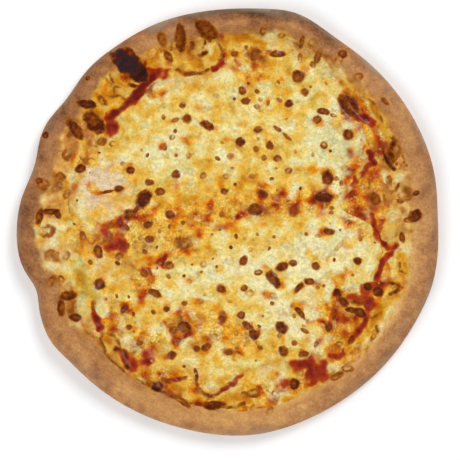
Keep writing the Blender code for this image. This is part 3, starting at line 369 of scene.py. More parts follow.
# Browned creases of the slope and round the cheese, as above
CREASES = (
    (0.0022, 0.74, (0.1095, 0.0511), (0.1095, 0.0476), (0.1109, 0.0427), (0.113, 0.0392), (0.1158, 0.0371)),
    (0.003, 0.7, (0.1144, 0.0588), (0.1172, 0.0602), (0.1193, 0.0581)),
    (0.0036, 0.66, (0.1166, 0.0574), (0.1144, 0.0518), (0.113, 0.049), (0.1138, 0.0448)),
    (0.0024, 0.46, (0.1193, 0.056), (0.1215, 0.0504), (0.1221, 0.0441), (0.1235, 0.0392)),
    (0.0018, 0.4, (0.1172, 0.049), (0.1158, 0.0448), (0.1172, 0.0399)),
    (0.0018, 0.34, (0.1116, 0.0238), (0.1144, 0.0203), (0.1179, 0.0224), (0.1187, 0.0259)),
    (0.0022, 0.58, (0.1207, 0.014), (0.1263, 0.0154), (0.1305, 0.0168)),
    (0.0018, 0.34, (0.0983, 0.0238), (0.0983, 0.0287), (0.1012, 0.0294)),
    (0.002, 0.36, (0.1089, 0.0182), (0.1103, 0.014), (0.1124, 0.0098)),
    (0.0016, 0.44, (-0.0829, 0.1029), (-0.0815, 0.098), (-0.0801, 0.0938), (-0.0809, 0.0896)),
    (0.0014, 0.4, (-0.0857, 0.0994), (-0.0823, 0.0952), (-0.0766, 0.0945)),
    (0.0016, 0.34, (-0.0892, 0.091), (-0.0837, 0.0875), (-0.0766, 0.0882), (-0.0717, 0.0847)),
    (0.0024, 0.58, (-0.0697, 0.0966), (-0.0648, 0.0952), (-0.0605, 0.0924), (-0.0549, 0.0917), (-0.0529, 0.0966)),
    (0.0024, 0.52, (-0.0809, 0.077), (-0.076, 0.0791), (-0.0717, 0.0819)),
    (0.0024, 0.56, (-0.036, 0.1064), (-0.0305, 0.1036), (-0.0249, 0.1043), (-0.0199, 0.1036), (-0.015, 0.1057)),
    (0.0026, 0.5, (-0.0269, 0.1288), (-0.0255, 0.1232), (-0.0277, 0.119), (-0.0262, 0.1148)),
    (0.0014, 0.62, (-0.0192, 0.1225), (-0.0164, 0.126)), (0.0034, 0.6, (-0.0206, 0.1176), (-0.0164, 0.1183)),
    (0.0022, 0.42, (-0.0416, 0.1302), (-0.0396, 0.126), (-0.0403, 0.1211)),
    (0.0028, 0.44, (-0.0473, 0.1288), (-0.0459, 0.1239), (-0.0473, 0.119)),
    (0.002, 0.36, (-0.0095, 0.1274), (-0.0059, 0.1218), (-0.0053, 0.1148), (-0.008, 0.1106)),
    (0.0022, 0.42, (-0.0949, -0.056), (-0.0949, -0.0616), (-0.0941, -0.0672)),
    (0.0026, 0.44, (-0.0892, -0.0777), (-0.09, -0.0854), (-0.0872, -0.0903), (-0.0837, -0.0952), (-0.0809, -0.1001),
     (-0.0746, -0.1057)),
    (0.0022, 0.36, (-0.0864, -0.0777), (-0.0815, -0.0798), (-0.078, -0.0833), (-0.0766, -0.0875)),
    (0.003, 0.66, (-0.0794, -0.0896), (-0.0752, -0.0903), (-0.0725, -0.0952), (-0.0711, -0.1022)),
    (0.0024, 0.34, (-0.0697, -0.1092), (-0.0634, -0.1127), (-0.057, -0.1162), (-0.05, -0.119)),
    (0.0026, 0.48, (-0.05, -0.119), (-0.043, -0.1211), (-0.0353, -0.1218), (-0.0305, -0.1267), (-0.0262, -0.1323)),
    (0.0024, 0.52, (-0.0466, -0.1106), (-0.0416, -0.1127), (-0.036, -0.1106), (-0.0305, -0.1099)),
    (0.0018, 0.54, (-0.0242, -0.1036), (-0.0227, -0.1106), (-0.0214, -0.1155), (-0.0192, -0.1197)),
    (0.0024, 0.5, (-0.0192, -0.1204), (-0.0143, -0.1232), (-0.0095, -0.1211), (-0.0039, -0.1176), (0.0024, -0.1134)),
    (0.0024, 0.44, (-0.0039, -0.1302), (0.0032, -0.1302), (0.0109, -0.1274)),
    (0.002, 0.54, (0.113, -0.0434), (0.1179, -0.0434), (0.1201, -0.0462), (0.1166, -0.049), (0.1124, -0.0518)),
    (0.002, 0.42, (0.1193, -0.0294), (0.1201, -0.0343), (0.1235, -0.0357)),
    (0.0022, 0.48, (0.0872, -0.056), (0.0914, -0.0567), (0.0955, -0.0553)),
    (0.0018, 0.44, (0.104, -0.0735), (0.1046, -0.077), (0.1004, -0.0812), (0.0998, -0.0861)),
    (0.0018, 0.36, (0.0941, -0.0672), (0.0998, -0.0686), (0.104, -0.0658)),
    (0.0022, 0.36, (-0.092, -0.0168), (-0.0864, -0.0126), (-0.0809, -0.0147)),
    (0.002, 0.34, (-0.1032, 0.0784), (-0.099, 0.0714), (-0.1004, 0.0644)),
    (0.0018, 0.34, (0.1012, 0.0938), (0.1067, 0.0889), (0.1095, 0.0826)),
    (0.002, 0.4, (0.0941, 0.0882), (0.0998, 0.0826), (0.1046, 0.077), (0.1067, 0.07)),
)

# Clean streaks of cream and gold: width, how golden, then the points of the line
STREAKS = (
    (0.0044, 0.92, (0.001, 0.1302), (0.0087, 0.1288), (0.0164, 0.1267), (0.0242, 0.1232)),
    (0.003, 0.86, (0.0788, 0.098), (0.0857, 0.0938)), (0.004, 0.84, (-0.1158, 0.0308), (-0.113, 0.0224)),
    (0.003, 0.8, (-0.1046, 0.0574), (-0.1004, 0.0518)),
    (0.005, 0.83, (0.1172, -0.0462), (0.1124, -0.0525), (0.1089, -0.0574), (0.1046, -0.063), (0.1012, -0.07)),
    (0.0034, 0.79, (0.1012, -0.07), (0.0955, -0.0791), (0.0892, -0.0861), (0.0829, -0.091)),
    (0.0036, 0.79, (0.0389, -0.1253), (0.0473, -0.1232), (0.0563, -0.1197), (0.0634, -0.1162)),
    (0.0056, 0.89, (0.1053, 0.0728), (0.1095, 0.0658), (0.113, 0.0602)),
    (0.0034, 0.93, (0.0941, 0.091), (0.0998, 0.0826), (0.1053, 0.0742)),
    (0.0054, 0.85, (-0.0605, 0.1204), (-0.0578, 0.1148), (-0.0542, 0.1113)),
    (0.0056, 0.93, (-0.0389, 0.1162), (-0.0333, 0.1127), (-0.0262, 0.1127), (-0.0192, 0.1113), (-0.0137, 0.1148)),
    (0.004, 0.87, (-0.0087, 0.1288), (-0.0066, 0.1232), (-0.008, 0.1176)),
    (0.006, 0.81, (-0.09, 0.0889), (-0.0843, 0.0847), (-0.078, 0.0826)),
    (0.0048, 0.69, (-0.0809, 0.0994), (-0.0752, 0.091)), (0.0036, 0.97, (-0.0949, 0.0784), (-0.09, 0.0763)),
    (0.0042, 0.95, (-0.0864, -0.0812), (-0.0837, -0.0896), (-0.0801, -0.098), (-0.076, -0.1043)),
    (0.0044, 0.89, (-0.0662, -0.1092), (-0.0592, -0.1134)), (0.0036, 0.91, (-0.0403, -0.1148), (-0.0318, -0.1176)),
    (0.004, 0.89, (-0.0249, -0.1225), (-0.0192, -0.1246)),
    (0.0056, 0.97, (-0.0046, -0.126), (0.0024, -0.1232), (0.0095, -0.1211), (0.0137, -0.1246)),
    (0.004, 0.91, (0.1207, -0.0252), (0.1215, -0.0322), (0.1207, -0.0406)),
    (0.005, 0.22, (0.1187, 0.0315), (0.1235, 0.0266)), (0.0024, 0.26, (0.1242, -0.0028), (0.1333, -0.0042)),
    (0.005, 0.2, (0.1152, -0.0602), (0.1095, -0.07), (0.104, -0.0791), (0.0969, -0.0875)),
    (0.003, 0.22, (-0.0479, 0.1176), (-0.0452, 0.1134)), (0.0036, 0.26, (-0.0164, 0.1232), (-0.0137, 0.119)),
    (0.0046, 0.16, (-0.0697, -0.0833), (-0.0662, -0.0861)), (0.0034, 0.2, (-0.0927, -0.0588), (-0.09, -0.0644)),
    (0.003, 0.24, (0.1089, 0.035), (0.1109, 0.028)), (0.0034, 0.3, (0.1152, -0.028), (0.1158, -0.0378)),
)

# Grey ash and flour by the outer edge: x, y, length, width, turn, strength
ASH_PATCHES = (
    (-0.0466, 0.1379, 0.022, 0.014, 20, 0.62), (0.0382, 0.147, 0.036, 0.012, -12, 0.62),
    (-0.1215, 0.0602, 0.024, 0.012, 62, 0.45), (-0.0942, -0.1001, 0.03, 0.014, -45, 0.42),
    (0.1138, -0.0756, 0.024, 0.014, 55, 0.42), (-0.015, 0.144, 0.02, 0.01, 0, 0.36),
    (0.105, 0.1, 0.03, 0.01, -45, 0.36), (0.02, -0.146, 0.04, 0.01, 0, 0.3),
)

# Mesh fineness
RIM_STEPS = 1200
SLOPE_RINGS = 36
OUTER_RINGS = 18
UNDER_RINGS = 8
CHEESE_CELLS = 300
SAUCE_CELLS = 284
SCRAP_CELLS = 30
SAUCE_CROWDING = 0.62
# The rings of a sheet's underside, as shares of its edge's radius
UNDER_SHARES = (0.985, 0.9, 0.6, 0.25)


# The small patch of cheese by itself on the right
SCRAP_MIDDLE = (0.1140, -0.0040)
SCRAP_HALF_LENGTH = 0.0095
SCRAP_HALF_WIDTH = 0.0060
SCRAP_TURN = 70

# Half the table's side
TABLE_HALF = 4.0


def bell(angle, middle, half_width):
    """A soft hump: 1 at the middle angle, and low from the half width on."""
    away = (angle - middle + 180) % 360 - 180
    return np.exp(-((away / half_width) ** 2))


def swelled(angle, mean, swells):
    """The mean with swells added at their angles."""
    return mean + sum(size * bell(angle, middle, wide) for middle, size, wide in swells)


def edge_radius(angle):
    return swelled(angle, EDGE_RADIUS, EDGE_SWELLS)


def rim_width(angle):
    return swelled(angle, BASE_RIM_WIDTH, WIDTH_SWELLS)


def rim_height(angle):
    return swelled(angle, RIM_HEIGHT, HEIGHT_SWELLS)


def box_middle():
    """The middle of the solid edge's box, which the frame has at its origin."""
    angle = np.arange(0, 360, SOLID_STEP)
    radius = edge_radius(angle)
    x, y = radius * np.cos(np.radians(angle)), radius * np.sin(np.radians(angle))
    return (x.min() + x.max()) / 2, (y.min() + y.max()) / 2


MIDDLE = box_middle()


def smooth(start, end, value):
    """0 up to start, 1 from end on, with a soft step between. start may be the larger."""
    share = np.clip((value - start) / (end - start), 0, 1)
    return share * share * (3 - 2 * share)


def ripple(x, y, size, seed):
    """Soft random relief between about -1 and 1, with lumps of the given size."""
    lean = np.random.default_rng(seed).uniform(0, 2 * math.pi, (64, 64))
    x, y = x / size + 32, y / size + 32
    column, row = np.floor(x).astype(int), np.floor(y).astype(int)
    x, y = x - column, y - row
    ease_x, ease_y = x**3 * (x * (6 * x - 15) + 10), y**3 * (y * (6 * y - 15) + 10)
    total = 0
    for i in (0, 1):
        for j in (0, 1):
            a = lean[(column + i) % 64, (row + j) % 64]
            rise = np.cos(a) * (x - i) + np.sin(a) * (y - j)
            total = total + rise * (ease_x if i else 1 - ease_x) * (ease_y if j else 1 - ease_y)
    return 1.6 * total


def rough(x, y, size, seed, octaves=3):
    """Ripples of several sizes, each half as large and half as strong as the one before."""
    return sum(ripple(x, y, size / 2**i, seed + i) / 2**i for i in range(octaves))


def polar(x, y):
    """Radius, and angle in degrees."""
    return np.hypot(x, y), np.degrees(np.arctan2(y, x))


def dough_relief(x, y, height):
    """The dough's uneven relief, as in the solid model: none at its widest height, all of it at the crest."""
    rise = np.clip((height - WIDEST_HEIGHT) / (RIM_HEIGHT - WIDEST_HEIGHT), 0, 1)
    lumps = np.zeros(x.shape)
    for i in np.flatnonzero(rise > 0):
        spot = Vector((x[i], y[i], height[i])) / DOUGH_RELIEF_SIZE
        lumps[i] = noise.noise(spot) + 0.5 * noise.noise(2.3 * spot)
    return DOUGH_RELIEF * rise * lumps


def dough_height(x, y):
    """The height of the bare dough's top inside its crest."""
    radius, angle = polar(x, y)
    width = rim_width(angle)
    share = np.clip((edge_radius(angle) - radius - CREST_INSET) / (width - CREST_INSET), 0, 1)
    height = FLOOR_HEIGHT + (rim_height(angle) - FLOOR_HEIGHT) * (0.5 + 0.5 * np.cos(math.pi * share))
    return height + dough_relief(x, y, height)


def cheese_edge(angle):
    turn = np.radians(angle)
    x, y = np.cos(turn), np.sin(turn)
    wander = 0.0016 * rough(x, y, 0.16, 31) + 0.0009 * ripple(x, y, 0.045, 37)
    return swelled(angle, CHEESE_RADIUS, CHEESE_LOBES) + wander


def near(x, y, spot, reach):
    """The indices of the points within reach of a spot, and where each is in it: 1 is the spot's edge."""
    spot_x, spot_y, length, width, turn = spot[:5]
    size = reach * max(length, width) / 2
    found = np.flatnonzero((np.abs(x - spot_x) < size) & (np.abs(y - spot_y) < size))
    along, across = x[found] - spot_x, y[found] - spot_y
    turn = math.radians(turn)
    u = (along * math.cos(turn) + across * math.sin(turn)) / (length / 2)
    v = (-along * math.sin(turn) + across * math.cos(turn)) / (width / 2)
    return found, u, v


def patches(x, y, spots, base=0.0):
    """A mask with a soft patch at each spot, added to the base."""
    mask = np.full(x.shape, base)
    for spot in spots:
        found, u, v = near(x, y, spot, 2.4)
        mask[found] += spot[5] * smooth(1.55, 0.35, np.hypot(u, v))
    return mask


def strokes(x, y, lines):
    """A mask that is as strong as each line says along it, and fades past half its width."""
    mask = np.zeros(x.shape)
    for width, strength, *points in lines:
        mask = np.maximum(mask, strength * stroke(x, y, width, points))
    return mask


def stroke(x, y, width, points):
    """1 along a line through the points, and fading past half its width."""
    away = np.full(x.shape, 1.0)
    for (x0, y0), (x1, y1) in zip(points, points[1:]):
        dx, dy = x1 - x0, y1 - y0
        along = np.clip(((x - x0) * dx + (y - y0) * dy) / (dx * dx + dy * dy), 0, 1)
        away = np.minimum(away, np.hypot(x - x0 - along * dx, y - y0 - along * dy))
    return smooth(2.4, 0.30, away / (width / 2))


def bubble_masks(x, y, spots, heights):
    """For browned bubbles: masks of their skin, the orange halo round them, and how far they stand up.

    The skin's masks are the distance from the nearest bubble's middle, where 1 is its edge, how dark that
    bubble is, and how much lighter it is inside, partly paler browned skin and partly a painted highlight. The
    shader makes its skin out of them.
    """
    dark, halo, lift, hollow = (np.zeros(x.shape) for _ in range(4))
    nearest = np.full(x.shape, FAR_AWAY)
    bend_x, bend_y = 0.16 * ripple(x, y, 0.0052, 71), 0.16 * ripple(x, y, 0.0052, 72)
    for i, (spot, height) in enumerate(zip(spots, heights)):
        tone, on_rim = spot[5], len(spot) > 6
        found, u, v = near(x, y, spot, 2.6)
        u, v = u + bend_x[found], v + bend_y[found]
        away = np.hypot(u, v)
        # The lighter centre sits off the middle, to a side that turns from bubble to bubble: partly paler skin, partly
        # a painted highlight
        side = 2.4 * i
        inner = np.hypot(u - 0.22 * math.cos(side), v - 0.22 * math.sin(side))
        if tone > CHARRED:
            ringed = 0.1
        elif on_rim:
            ringed = min(0.66, max(0.40, 0.40 + 1.1 * (0.7 - tone)))
        else:
            ringed = 0.34 + 0.22 * math.sin(5.7 * i)
        strength = tone + 0.20 * (ringed - 0.34) if on_rim else 1.04 * tone - 0.07
        if on_rim and tone > DARK_BLISTER:
            away = away / 1.08
            strength = strength + 0.05
        closer = away < nearest[found]
        held = found[closer]
        nearest[held], dark[held] = away[closer], strength
        hollow[held] = 1.25 * ringed * np.clip(1 - inner[closer], 0, 1)
        halo[found] = np.maximum(halo[found], min(1, spot[5]) * smooth(2.1, 0.9, away))
        dome = np.sqrt(np.clip(1 - (away / 1.15) ** 2, 0, 1))
        lift[found] = np.maximum(lift[found], height * dome)
    return {"away": nearest, "char": dark, "hollow": hollow}, halo, lift


def froth(x, y, size, seed):
    """Small round blisters set at random: the ring round each one and its dome, from 0 to 1."""
    random = np.random.default_rng(seed)
    middle = random.uniform(0.15, 0.85, (64, 64, 2))
    reach = random.uniform(0.26, 0.52, (64, 64))
    strength = random.uniform(0.3, 1.0, (64, 64)) * (random.random((64, 64)) < FROTH_SHARE)
    ring, dome = np.zeros(x.shape), np.zeros(x.shape)
    column, row = np.floor(x / size).astype(int), np.floor(y / size).astype(int)
    for i in (-1, 0, 1):
        for j in (-1, 0, 1):
            cell = (column + i) % 64, (row + j) % 64
            away_x = x / size - column - i - middle[(*cell, 0)]
            away_y = y / size - row - j - middle[(*cell, 1)]
            away = np.hypot(away_x, away_y) / reach[cell]
            ring = np.maximum(ring, strength[cell] * smooth(0.60, 0.0, np.abs(away - 0.85)))
            dome = np.maximum(dome, strength[cell] * np.sqrt(np.clip(1 - away**2, 0, 1)))
    return ring, dome


def frothy(x, y):
    """The creased, blistered skin of the oily places: how dark its lines are and how far it stands up."""
    where = smooth(0.30, 0.62, patches(x, y, ORANGE_PATCHES, EVEN_ORANGE) + 0.8 * patches(x, y, TOAST_PATCHES))
    bend_x, bend_y = x + 0.0018 * ripple(x, y, 0.007, 111), y + 0.0018 * ripple(x, y, 0.007, 112)
    ring, dome = froth(bend_x, bend_y, FROTH_SIZE, 113)
    swirl = rough(bend_x, bend_y, 0.0085, 115, 2)
    crease = smooth(0.34, 0.02, np.abs(swirl)) * smooth(-0.15, 0.55, ripple(x, y, 0.0095, 117))
    return where * np.maximum(0.9 * ring, crease), where * (0.0010 * dome + 0.0006 * swirl - 0.0003 * crease)


def paint(x, y):
    """Masks of the topping's tones by place: gold, orange, browning, toast, tint and tomato."""
    bend_x = x + 0.0016 * rough(x, y, 0.009, 11)
    bend_y = y + 0.0016 * rough(x, y, 0.009, 14)
    tones = {
        "gold": patches(bend_x, bend_y, GOLD_PATCHES, EVEN_GOLD),
        "orange": patches(bend_x, bend_y, ORANGE_PATCHES, EVEN_ORANGE),
        "toast": patches(bend_x, bend_y, TOAST_PATCHES),
        "tint": patches(bend_x, bend_y, TINT_PATCHES),
    }
    shake_x = x + 0.0012 * rough(x, y, 0.009, 21, 2)
    shake_y = y + 0.0012 * rough(x, y, 0.009, 24, 2)
    tones["orange"] = np.minimum(tones["orange"], MOST_ORANGE)
    bare = BARE_SAUCE * smooth(0.5, MOST_ORANGE, tones["orange"])
    uneven = 0.94 + 0.30 * ripple(x, y, 0.0065, 27)
    tones["tomato"] = np.maximum(bare, uneven * strokes(shake_x, shake_y, SAUCE_STROKES))
    blisters = frothy(x, y)[0]
    for width, golden, *points in STREAKS:
        share = stroke(shake_x, shake_y, width, points)
        tones["gold"] = tones["gold"] + (golden - tones["gold"]) * share
        for key, kept in (("orange", 0.15), ("toast", 0.35), ("tomato", 0.0)):
            tones[key] = tones[key] * (1 - (1 - kept) * share)
        blisters = blisters * (1 - 0.7 * share)
    blisters = 0.34 * blisters * (1 - 0.8 * np.clip(tones["tomato"], 0, 1))
    creases = np.maximum(blisters, strokes(shake_x, shake_y, CREASES))
    tones["browning"] = np.maximum(patches(bend_x, bend_y, BROWN_PATCHES), creases)
    return tones


def new_mesh_object(name, points, faces, masks):
    """A mesh from arrays, moved onto the frame, smooth, with one attribute for each mask."""
    points = points - np.array([*MIDDLE, 0])
    mesh = bpy.data.meshes.new(name)
    mesh.from_pydata(points.tolist(), [], faces)
    for key, values in masks.items():
        mesh.attributes.new(key, "FLOAT", "POINT").data.foreach_set("value", np.asarray(values, dtype=np.float32))
    mesh.shade_smooth()
    piece = bpy.data.objects.new(name, mesh)
    bpy.context.scene.collection.objects.link(piece)
    return piece


def disc_grid(cells):
    """A square grid bent into the unit disc: its radii, its angles, its faces and the loop of its edge."""
    line = np.linspace(-1, 1, cells + 1)
    u, v = (part.ravel() for part in np.meshgrid(line, line, indexing="ij"))
    wide = np.abs(u) > np.abs(v)
    safe_u, safe_v = np.where(wide, u, 1), np.where(wide | (v == 0), 1, v)
    turn = np.where(wide, math.pi / 4 * v / safe_u, math.pi / 2 - math.pi / 4 * u / safe_v)
    reach = np.where(wide, u, v)
    x, y = reach * np.cos(turn), reach * np.sin(turn)
    side = cells + 1
    faces = [
        (i * side + j, (i + 1) * side + j, (i + 1) * side + j + 1, i * side + j + 1)
        for i in range(cells)
        for j in range(cells)
    ]
    edge = (
        [i * side for i in range(cells)]
        + [cells * side + j for j in range(cells)]
        + [i * side + cells for i in range(cells, 0, -1)]
        + list(range(cells, 0, -1))
    )
    return np.hypot(x, y), np.degrees(np.arctan2(y, x)), faces, edge


def sheet_piece(cells, outline, bed, depth, masks_at, crowding=1.0):
    """A closed sheet: a fine top, a rounded edge and a coarse underside that lies on the bed.

    outline(angle) is the radius of the edge, bed(x, y) the height below, depth(x, y, share) the thickness. A
    crowding below 1 sets the faces closer together by the edge.
    """
    share, angle, faces, edge = disc_grid(cells)
    share = share**crowding
    turn = np.radians(angle)
    radius = outline(angle)
    x, y = share * radius * np.cos(turn), share * radius * np.sin(turn)
    top = bed(x, y) + depth(x, y, share)
    points = [np.column_stack((x, y, top))]
    rings = [edge]
    count = len(x)
    for under in UNDER_SHARES:
        ring_x, ring_y = under * x[edge], under * y[edge]
        points.append(np.column_stack((ring_x, ring_y, bed(ring_x, ring_y))))
        rings.append(list(range(count, count + len(edge))))
        count += len(edge)
    middle = np.array([[0, 0, float(bed(np.zeros(1), np.zeros(1))[0])]])
    points.append(middle)
    for outer, inner in zip(rings, rings[1:]):
        for i in range(len(edge)):
            j = (i + 1) % len(edge)
            faces.append((outer[i], inner[i], inner[j], outer[j]))
    last = rings[-1]
    faces += [(last[i], count, last[(i + 1) % len(last)]) for i in range(len(last))]
    points = np.vstack(points)
    masks = masks_at(points[:, 0], points[:, 1])
    return points, faces, masks


def add(tree, kind, inputs=None, **settings):
    """A node with its settings; an input is a value or another node's socket."""
    node = tree.nodes.new(kind)
    for key, value in settings.items():
        setattr(node, key, value)
    for key, value in (inputs or {}).items():
        if isinstance(value, bpy.types.NodeSocket):
            tree.links.new(value, node.inputs[key])
        else:
            node.inputs[key].default_value = value
    return node


def calc(tree, operation, first, second=0.0, clamp=False):
    node = add(tree, "ShaderNodeMath", {0: first, 1: second}, operation=operation, use_clamp=clamp)
    return node.outputs[0]


def step(tree, value, start, end, low=0.0, high=1.0):
    """A soft step of the value from start to end, given as low to high."""
    inputs = {"Value": value, "From Min": start, "From Max": end, "To Min": low, "To Max": high}
    return add(tree, "ShaderNodeMapRange", inputs, interpolation_type="SMOOTHSTEP").outputs["Result"]


def speckle(tree, vector, scale, detail=3.0, offset=0.0):
    """Noise from about -1 to 1, and mostly within half of that."""
    if offset:
        shift = {0: vector, 1: (offset, offset, offset)}
        vector = add(tree, "ShaderNodeVectorMath", shift, operation="ADD").outputs[0]
    inputs = {"Vector": vector, "Scale": scale, "Detail": detail, "Roughness": SPECKLE_ROUGHNESS}
    value = add(tree, "ShaderNodeTexNoise", inputs).outputs[0]
    spread = {"Value": value, "From Min": 0.25, "From Max": 0.75, "To Min": -1.0, "To Max": 1.0}
    return add(tree, "ShaderNodeMapRange", spread, clamp=False).outputs["Result"]


def plus(tree, value, other, share):
    """The value with a share of another added."""
    return add(tree, "ShaderNodeMath", {0: other, 1: share, 2: value}, operation="MULTIPLY_ADD").outputs[0]


def mixed(tree, factor, first, second, blend="MIX"):
    node = add(tree, "ShaderNodeMix", {0: factor}, data_type="RGBA", blend_type=blend)
    for socket, value in ((node.inputs[6], first), (node.inputs[7], second)):
        if isinstance(value, bpy.types.NodeSocket):
            tree.links.new(value, socket)
        else:
            socket.default_value = (*value, 1)
    return node.outputs[2]


def ramp(tree, value, stops):
    """Colours by value, with (position, colour) stops."""
    node = add(tree, "ShaderNodeValToRGB", {0: value})
    while len(node.color_ramp.elements) < len(stops):
        node.color_ramp.elements.new(1)
    for element, (position, colour) in zip(node.color_ramp.elements, stops):
        element.position = position
        element.color = (*colour, 1)
    return node.outputs[0]


def new_group(name, inputs, outputs):
    """A shader node group; inputs and outputs are (name, kind) pairs."""
    tree = bpy.data.node_groups.new(name, "ShaderNodeTree")
    for label, kind in inputs:
        tree.interface.new_socket(label, in_out="INPUT", socket_type=kind)
    for label, kind in outputs:
        tree.interface.new_socket(label, in_out="OUTPUT", socket_type=kind)
    return tree, add(tree, "NodeGroupInput").outputs, add(tree, "NodeGroupOutput").inputs


def use_group(tree, name, **inputs):
    builder = GROUPS[name]
    group = bpy.data.node_groups.get(name) or builder(name)
    node = add(tree, "ShaderNodeGroup", node_tree=group)
    for key, value in inputs.items():
        socket = node.inputs[key]
        if isinstance(value, bpy.types.NodeSocket):
            tree.links.new(value, socket)
        else:
            socket.default_value = (*value, 1) if isinstance(value, tuple) else value
    return node.outputs


FLOAT, COLOUR, VECTOR = "NodeSocketFloat", "NodeSocketColor", "NodeSocketVector"

# How much the smaller lumps of all speckle count
SPECKLE_ROUGHNESS = 0.55
# What the food's materials share
SPECULAR = 0.06
COAT_ROUGHNESS = 0.10

CREAM_TO_GOLD = (
    (0.00, (0.855, 0.765, 0.40)),
    (0.28, (0.845, 0.660, 0.215)),
    (0.52, (0.80, 0.505, 0.078)),
    (0.78, (0.73, 0.335, 0.016)),
    (1.00, (0.59, 0.204, 0.003)),
)
TINTS = (
    (0.0, (0.86, 0.66, 0.84)),
    (0.5, (1.0, 1.0, 1.0)),
    (0.75, (0.83, 0.86, 0.80)),
    (1.0, (0.60, 0.55, 0.36)),
)
OILY_ORANGE = (
    (0.05, (0.82, 0.50, 0.08)),
    (0.30, (0.77, 0.36, 0.018)),
    (0.50, (0.71, 0.225, 0.004)),
    (0.70, (0.55, 0.109, 0.002)),
    (0.88, (0.39, 0.040, 0.001)),
    (1.00, (0.25, 0.016, 0.001)),
)
# The colour of the painted highlights on the oily film and the toast
PAINTED_OILY_GLINT = (0.90, 0.62, 0.22)
TOMATO_REDS = (
    (0.0, (0.66, 0.19, 0.006)),
    (0.45, (0.50, 0.062, 0.004)),
    (0.8, (0.31, 0.024, 0.006)),
    (1.0, (0.15, 0.008, 0.003)),
)
TOASTED = (
    (0.0, (0.86, 0.58, 0.24)),
    (0.35, (0.76, 0.42, 0.115)),
    (0.65, (0.57, 0.24, 0.042)),
    (1.0, (0.30, 0.09, 0.008)),
)
BAKED_BROWNS = (
    (0.06, (0.50, 0.220, 0.036)),
    (0.25, (0.38, 0.118, 0.008)),
    (0.43, (0.230, 0.048, 0.001)),
    (0.60, (0.110, 0.015, 0.001)),
    (0.72, (0.072, 0.010, 0.003)),
    (0.94, (0.024, 0.012, 0.018)),
)

# The strength of browning that the last brown stands for
BROWNEST = 1.4


def topping_tones(name):
    """Melted cheese from cream to gold, with oily orange stains, painted glints and painted light and shade."""
    tree, given, out = new_group(
        name, (("Vector", VECTOR), ("Gold", FLOAT), ("Orange", FLOAT), ("Tint", FLOAT)), (("Color", COLOUR),)
    )
    vector = given["Vector"]
    broad = speckle(tree, vector, 62, 1)
    small = speckle(tree, vector, 140, 0.2, offset=3)
    tiny = speckle(tree, vector, 430, 1, offset=5)
    gold = plus(tree, plus(tree, plus(tree, given["Gold"], broad, 0.26), small, 0.27), tiny, 0.02)
    tint = plus(tree, plus(tree, 0.5, given["Tint"], 0.5), speckle(tree, vector, 90, 0.5, offset=9), 0.08)
    base = add(
        tree,
        "ShaderNodeVectorMath",
        {0: ramp(tree, gold, CREAM_TO_GOLD), 1: ramp(tree, tint, TINTS)},
        operation="MULTIPLY",
    ).outputs[0]
    stain = plus(tree, given["Orange"], speckle(tree, vector, 95, 0.5, offset=7), 0.54)
    depth = plus(tree, calc(tree, "MULTIPLY", given["Orange"], 0.62), speckle(tree, vector, 125, 0.5, offset=11), 0.62)
    depth = plus(tree, depth, broad, -0.30)
    orange = ramp(tree, depth, OILY_ORANGE)
    colour = mixed(tree, step(tree, stain, 0.14, 0.68), base, orange)
    # Brightness speckle, darker spots and a finer speckle in the oily places: painted light and shade standing in for
    # the shading and highlights of fine relief
    light = plus(tree, plus(tree, 1.0, tiny, 0.17), speckle(tree, vector, 900, 1, offset=13), 0.12)
    light = plus(tree, light, speckle(tree, vector, 210, 1, offset=23), 0.09)
    oily = calc(tree, "MULTIPLY", step(tree, given["Orange"], 0.30, 0.60), speckle(tree, vector, 620, 2, offset=29))
    light = plus(tree, light, oily, 0.34)
    light = plus(tree, light, step(tree, speckle(tree, vector, 130, 2, offset=17), 0.15, 0.9), -0.20)
    # Painted highlights: pale glints of oil mixed into the colour where it is orange
    painted_glint = calc(tree, "MULTIPLY", step(tree, speckle(tree, vector, 230, 2, offset=19), 0.22, 0.80), 0.50)
    painted_glint = calc(tree, "MULTIPLY", painted_glint, step(tree, given["Orange"], 0.25, 0.60))
    colour = mixed(tree, painted_glint, colour, PAINTED_OILY_GLINT)
    scaled = add(tree, "ShaderNodeVectorMath", {0: colour, "Scale": light}, operation="SCALE").outputs[0]
    tree.links.new(scaled, out["Color"])
    return tree


def tomato_stain(name):
    """Red sauce that shows through."""
    tree, given, out = new_group(
        name, (("Color", COLOUR), ("Vector", VECTOR), ("Tomato", FLOAT)), (("Color", COLOUR), ("Wet", FLOAT))
    )
    patchy = calc(tree, "MULTIPLY", speckle(tree, given["Vector"], 150, 1), step(tree, given["Tomato"], 0.0, 0.4))
    red = plus(tree, plus(tree, given["Tomato"], patchy, 0.28), speckle(tree, given["Vector"], 520, 2, offset=2), 0.05)
    shown = step(tree, red, 0.12, 0.66)
    tree.links.new(mixed(tree, shown, given["Color"], ramp(tree, red, TOMATO_REDS)), out["Color"])
    tree.links.new(shown, out["Wet"])
    return tree


def toasting(name):
    """Lightly toasted film, mottled from tan to light brown, with painted glints."""
    tree, given, out = new_group(
        name, (("Color", COLOUR), ("Vector", VECTOR), ("Toast", FLOAT)), (("Color", COLOUR),)
    )
    uneven = speckle(tree, given["Vector"], 105, 0.8, offset=15)
    fine = plus(tree, 1.0, speckle(tree, given["Vector"], 420, 2, offset=16), 0.20)
    shown = step(tree, plus(tree, given["Toast"], uneven, 0.26), 0.10, 0.72)
    tone = ramp(tree, plus(tree, given["Toast"], uneven, 0.55), TOASTED)
    # Painted highlights: pale glints mixed into the toast
    painted_glint = step(tree, speckle(tree, given["Vector"], 190, 2, offset=27), 0.20, 0.85, 0, 0.50)
    tone = mixed(tree, painted_glint, tone, PAINTED_OILY_GLINT)
    tone = add(tree, "ShaderNodeVectorMath", {0: tone, "Scale": fine}, operation="SCALE").outputs[0]
    tree.links.new(mixed(tree, shown, given["Color"], tone), out["Color"])
    return tree


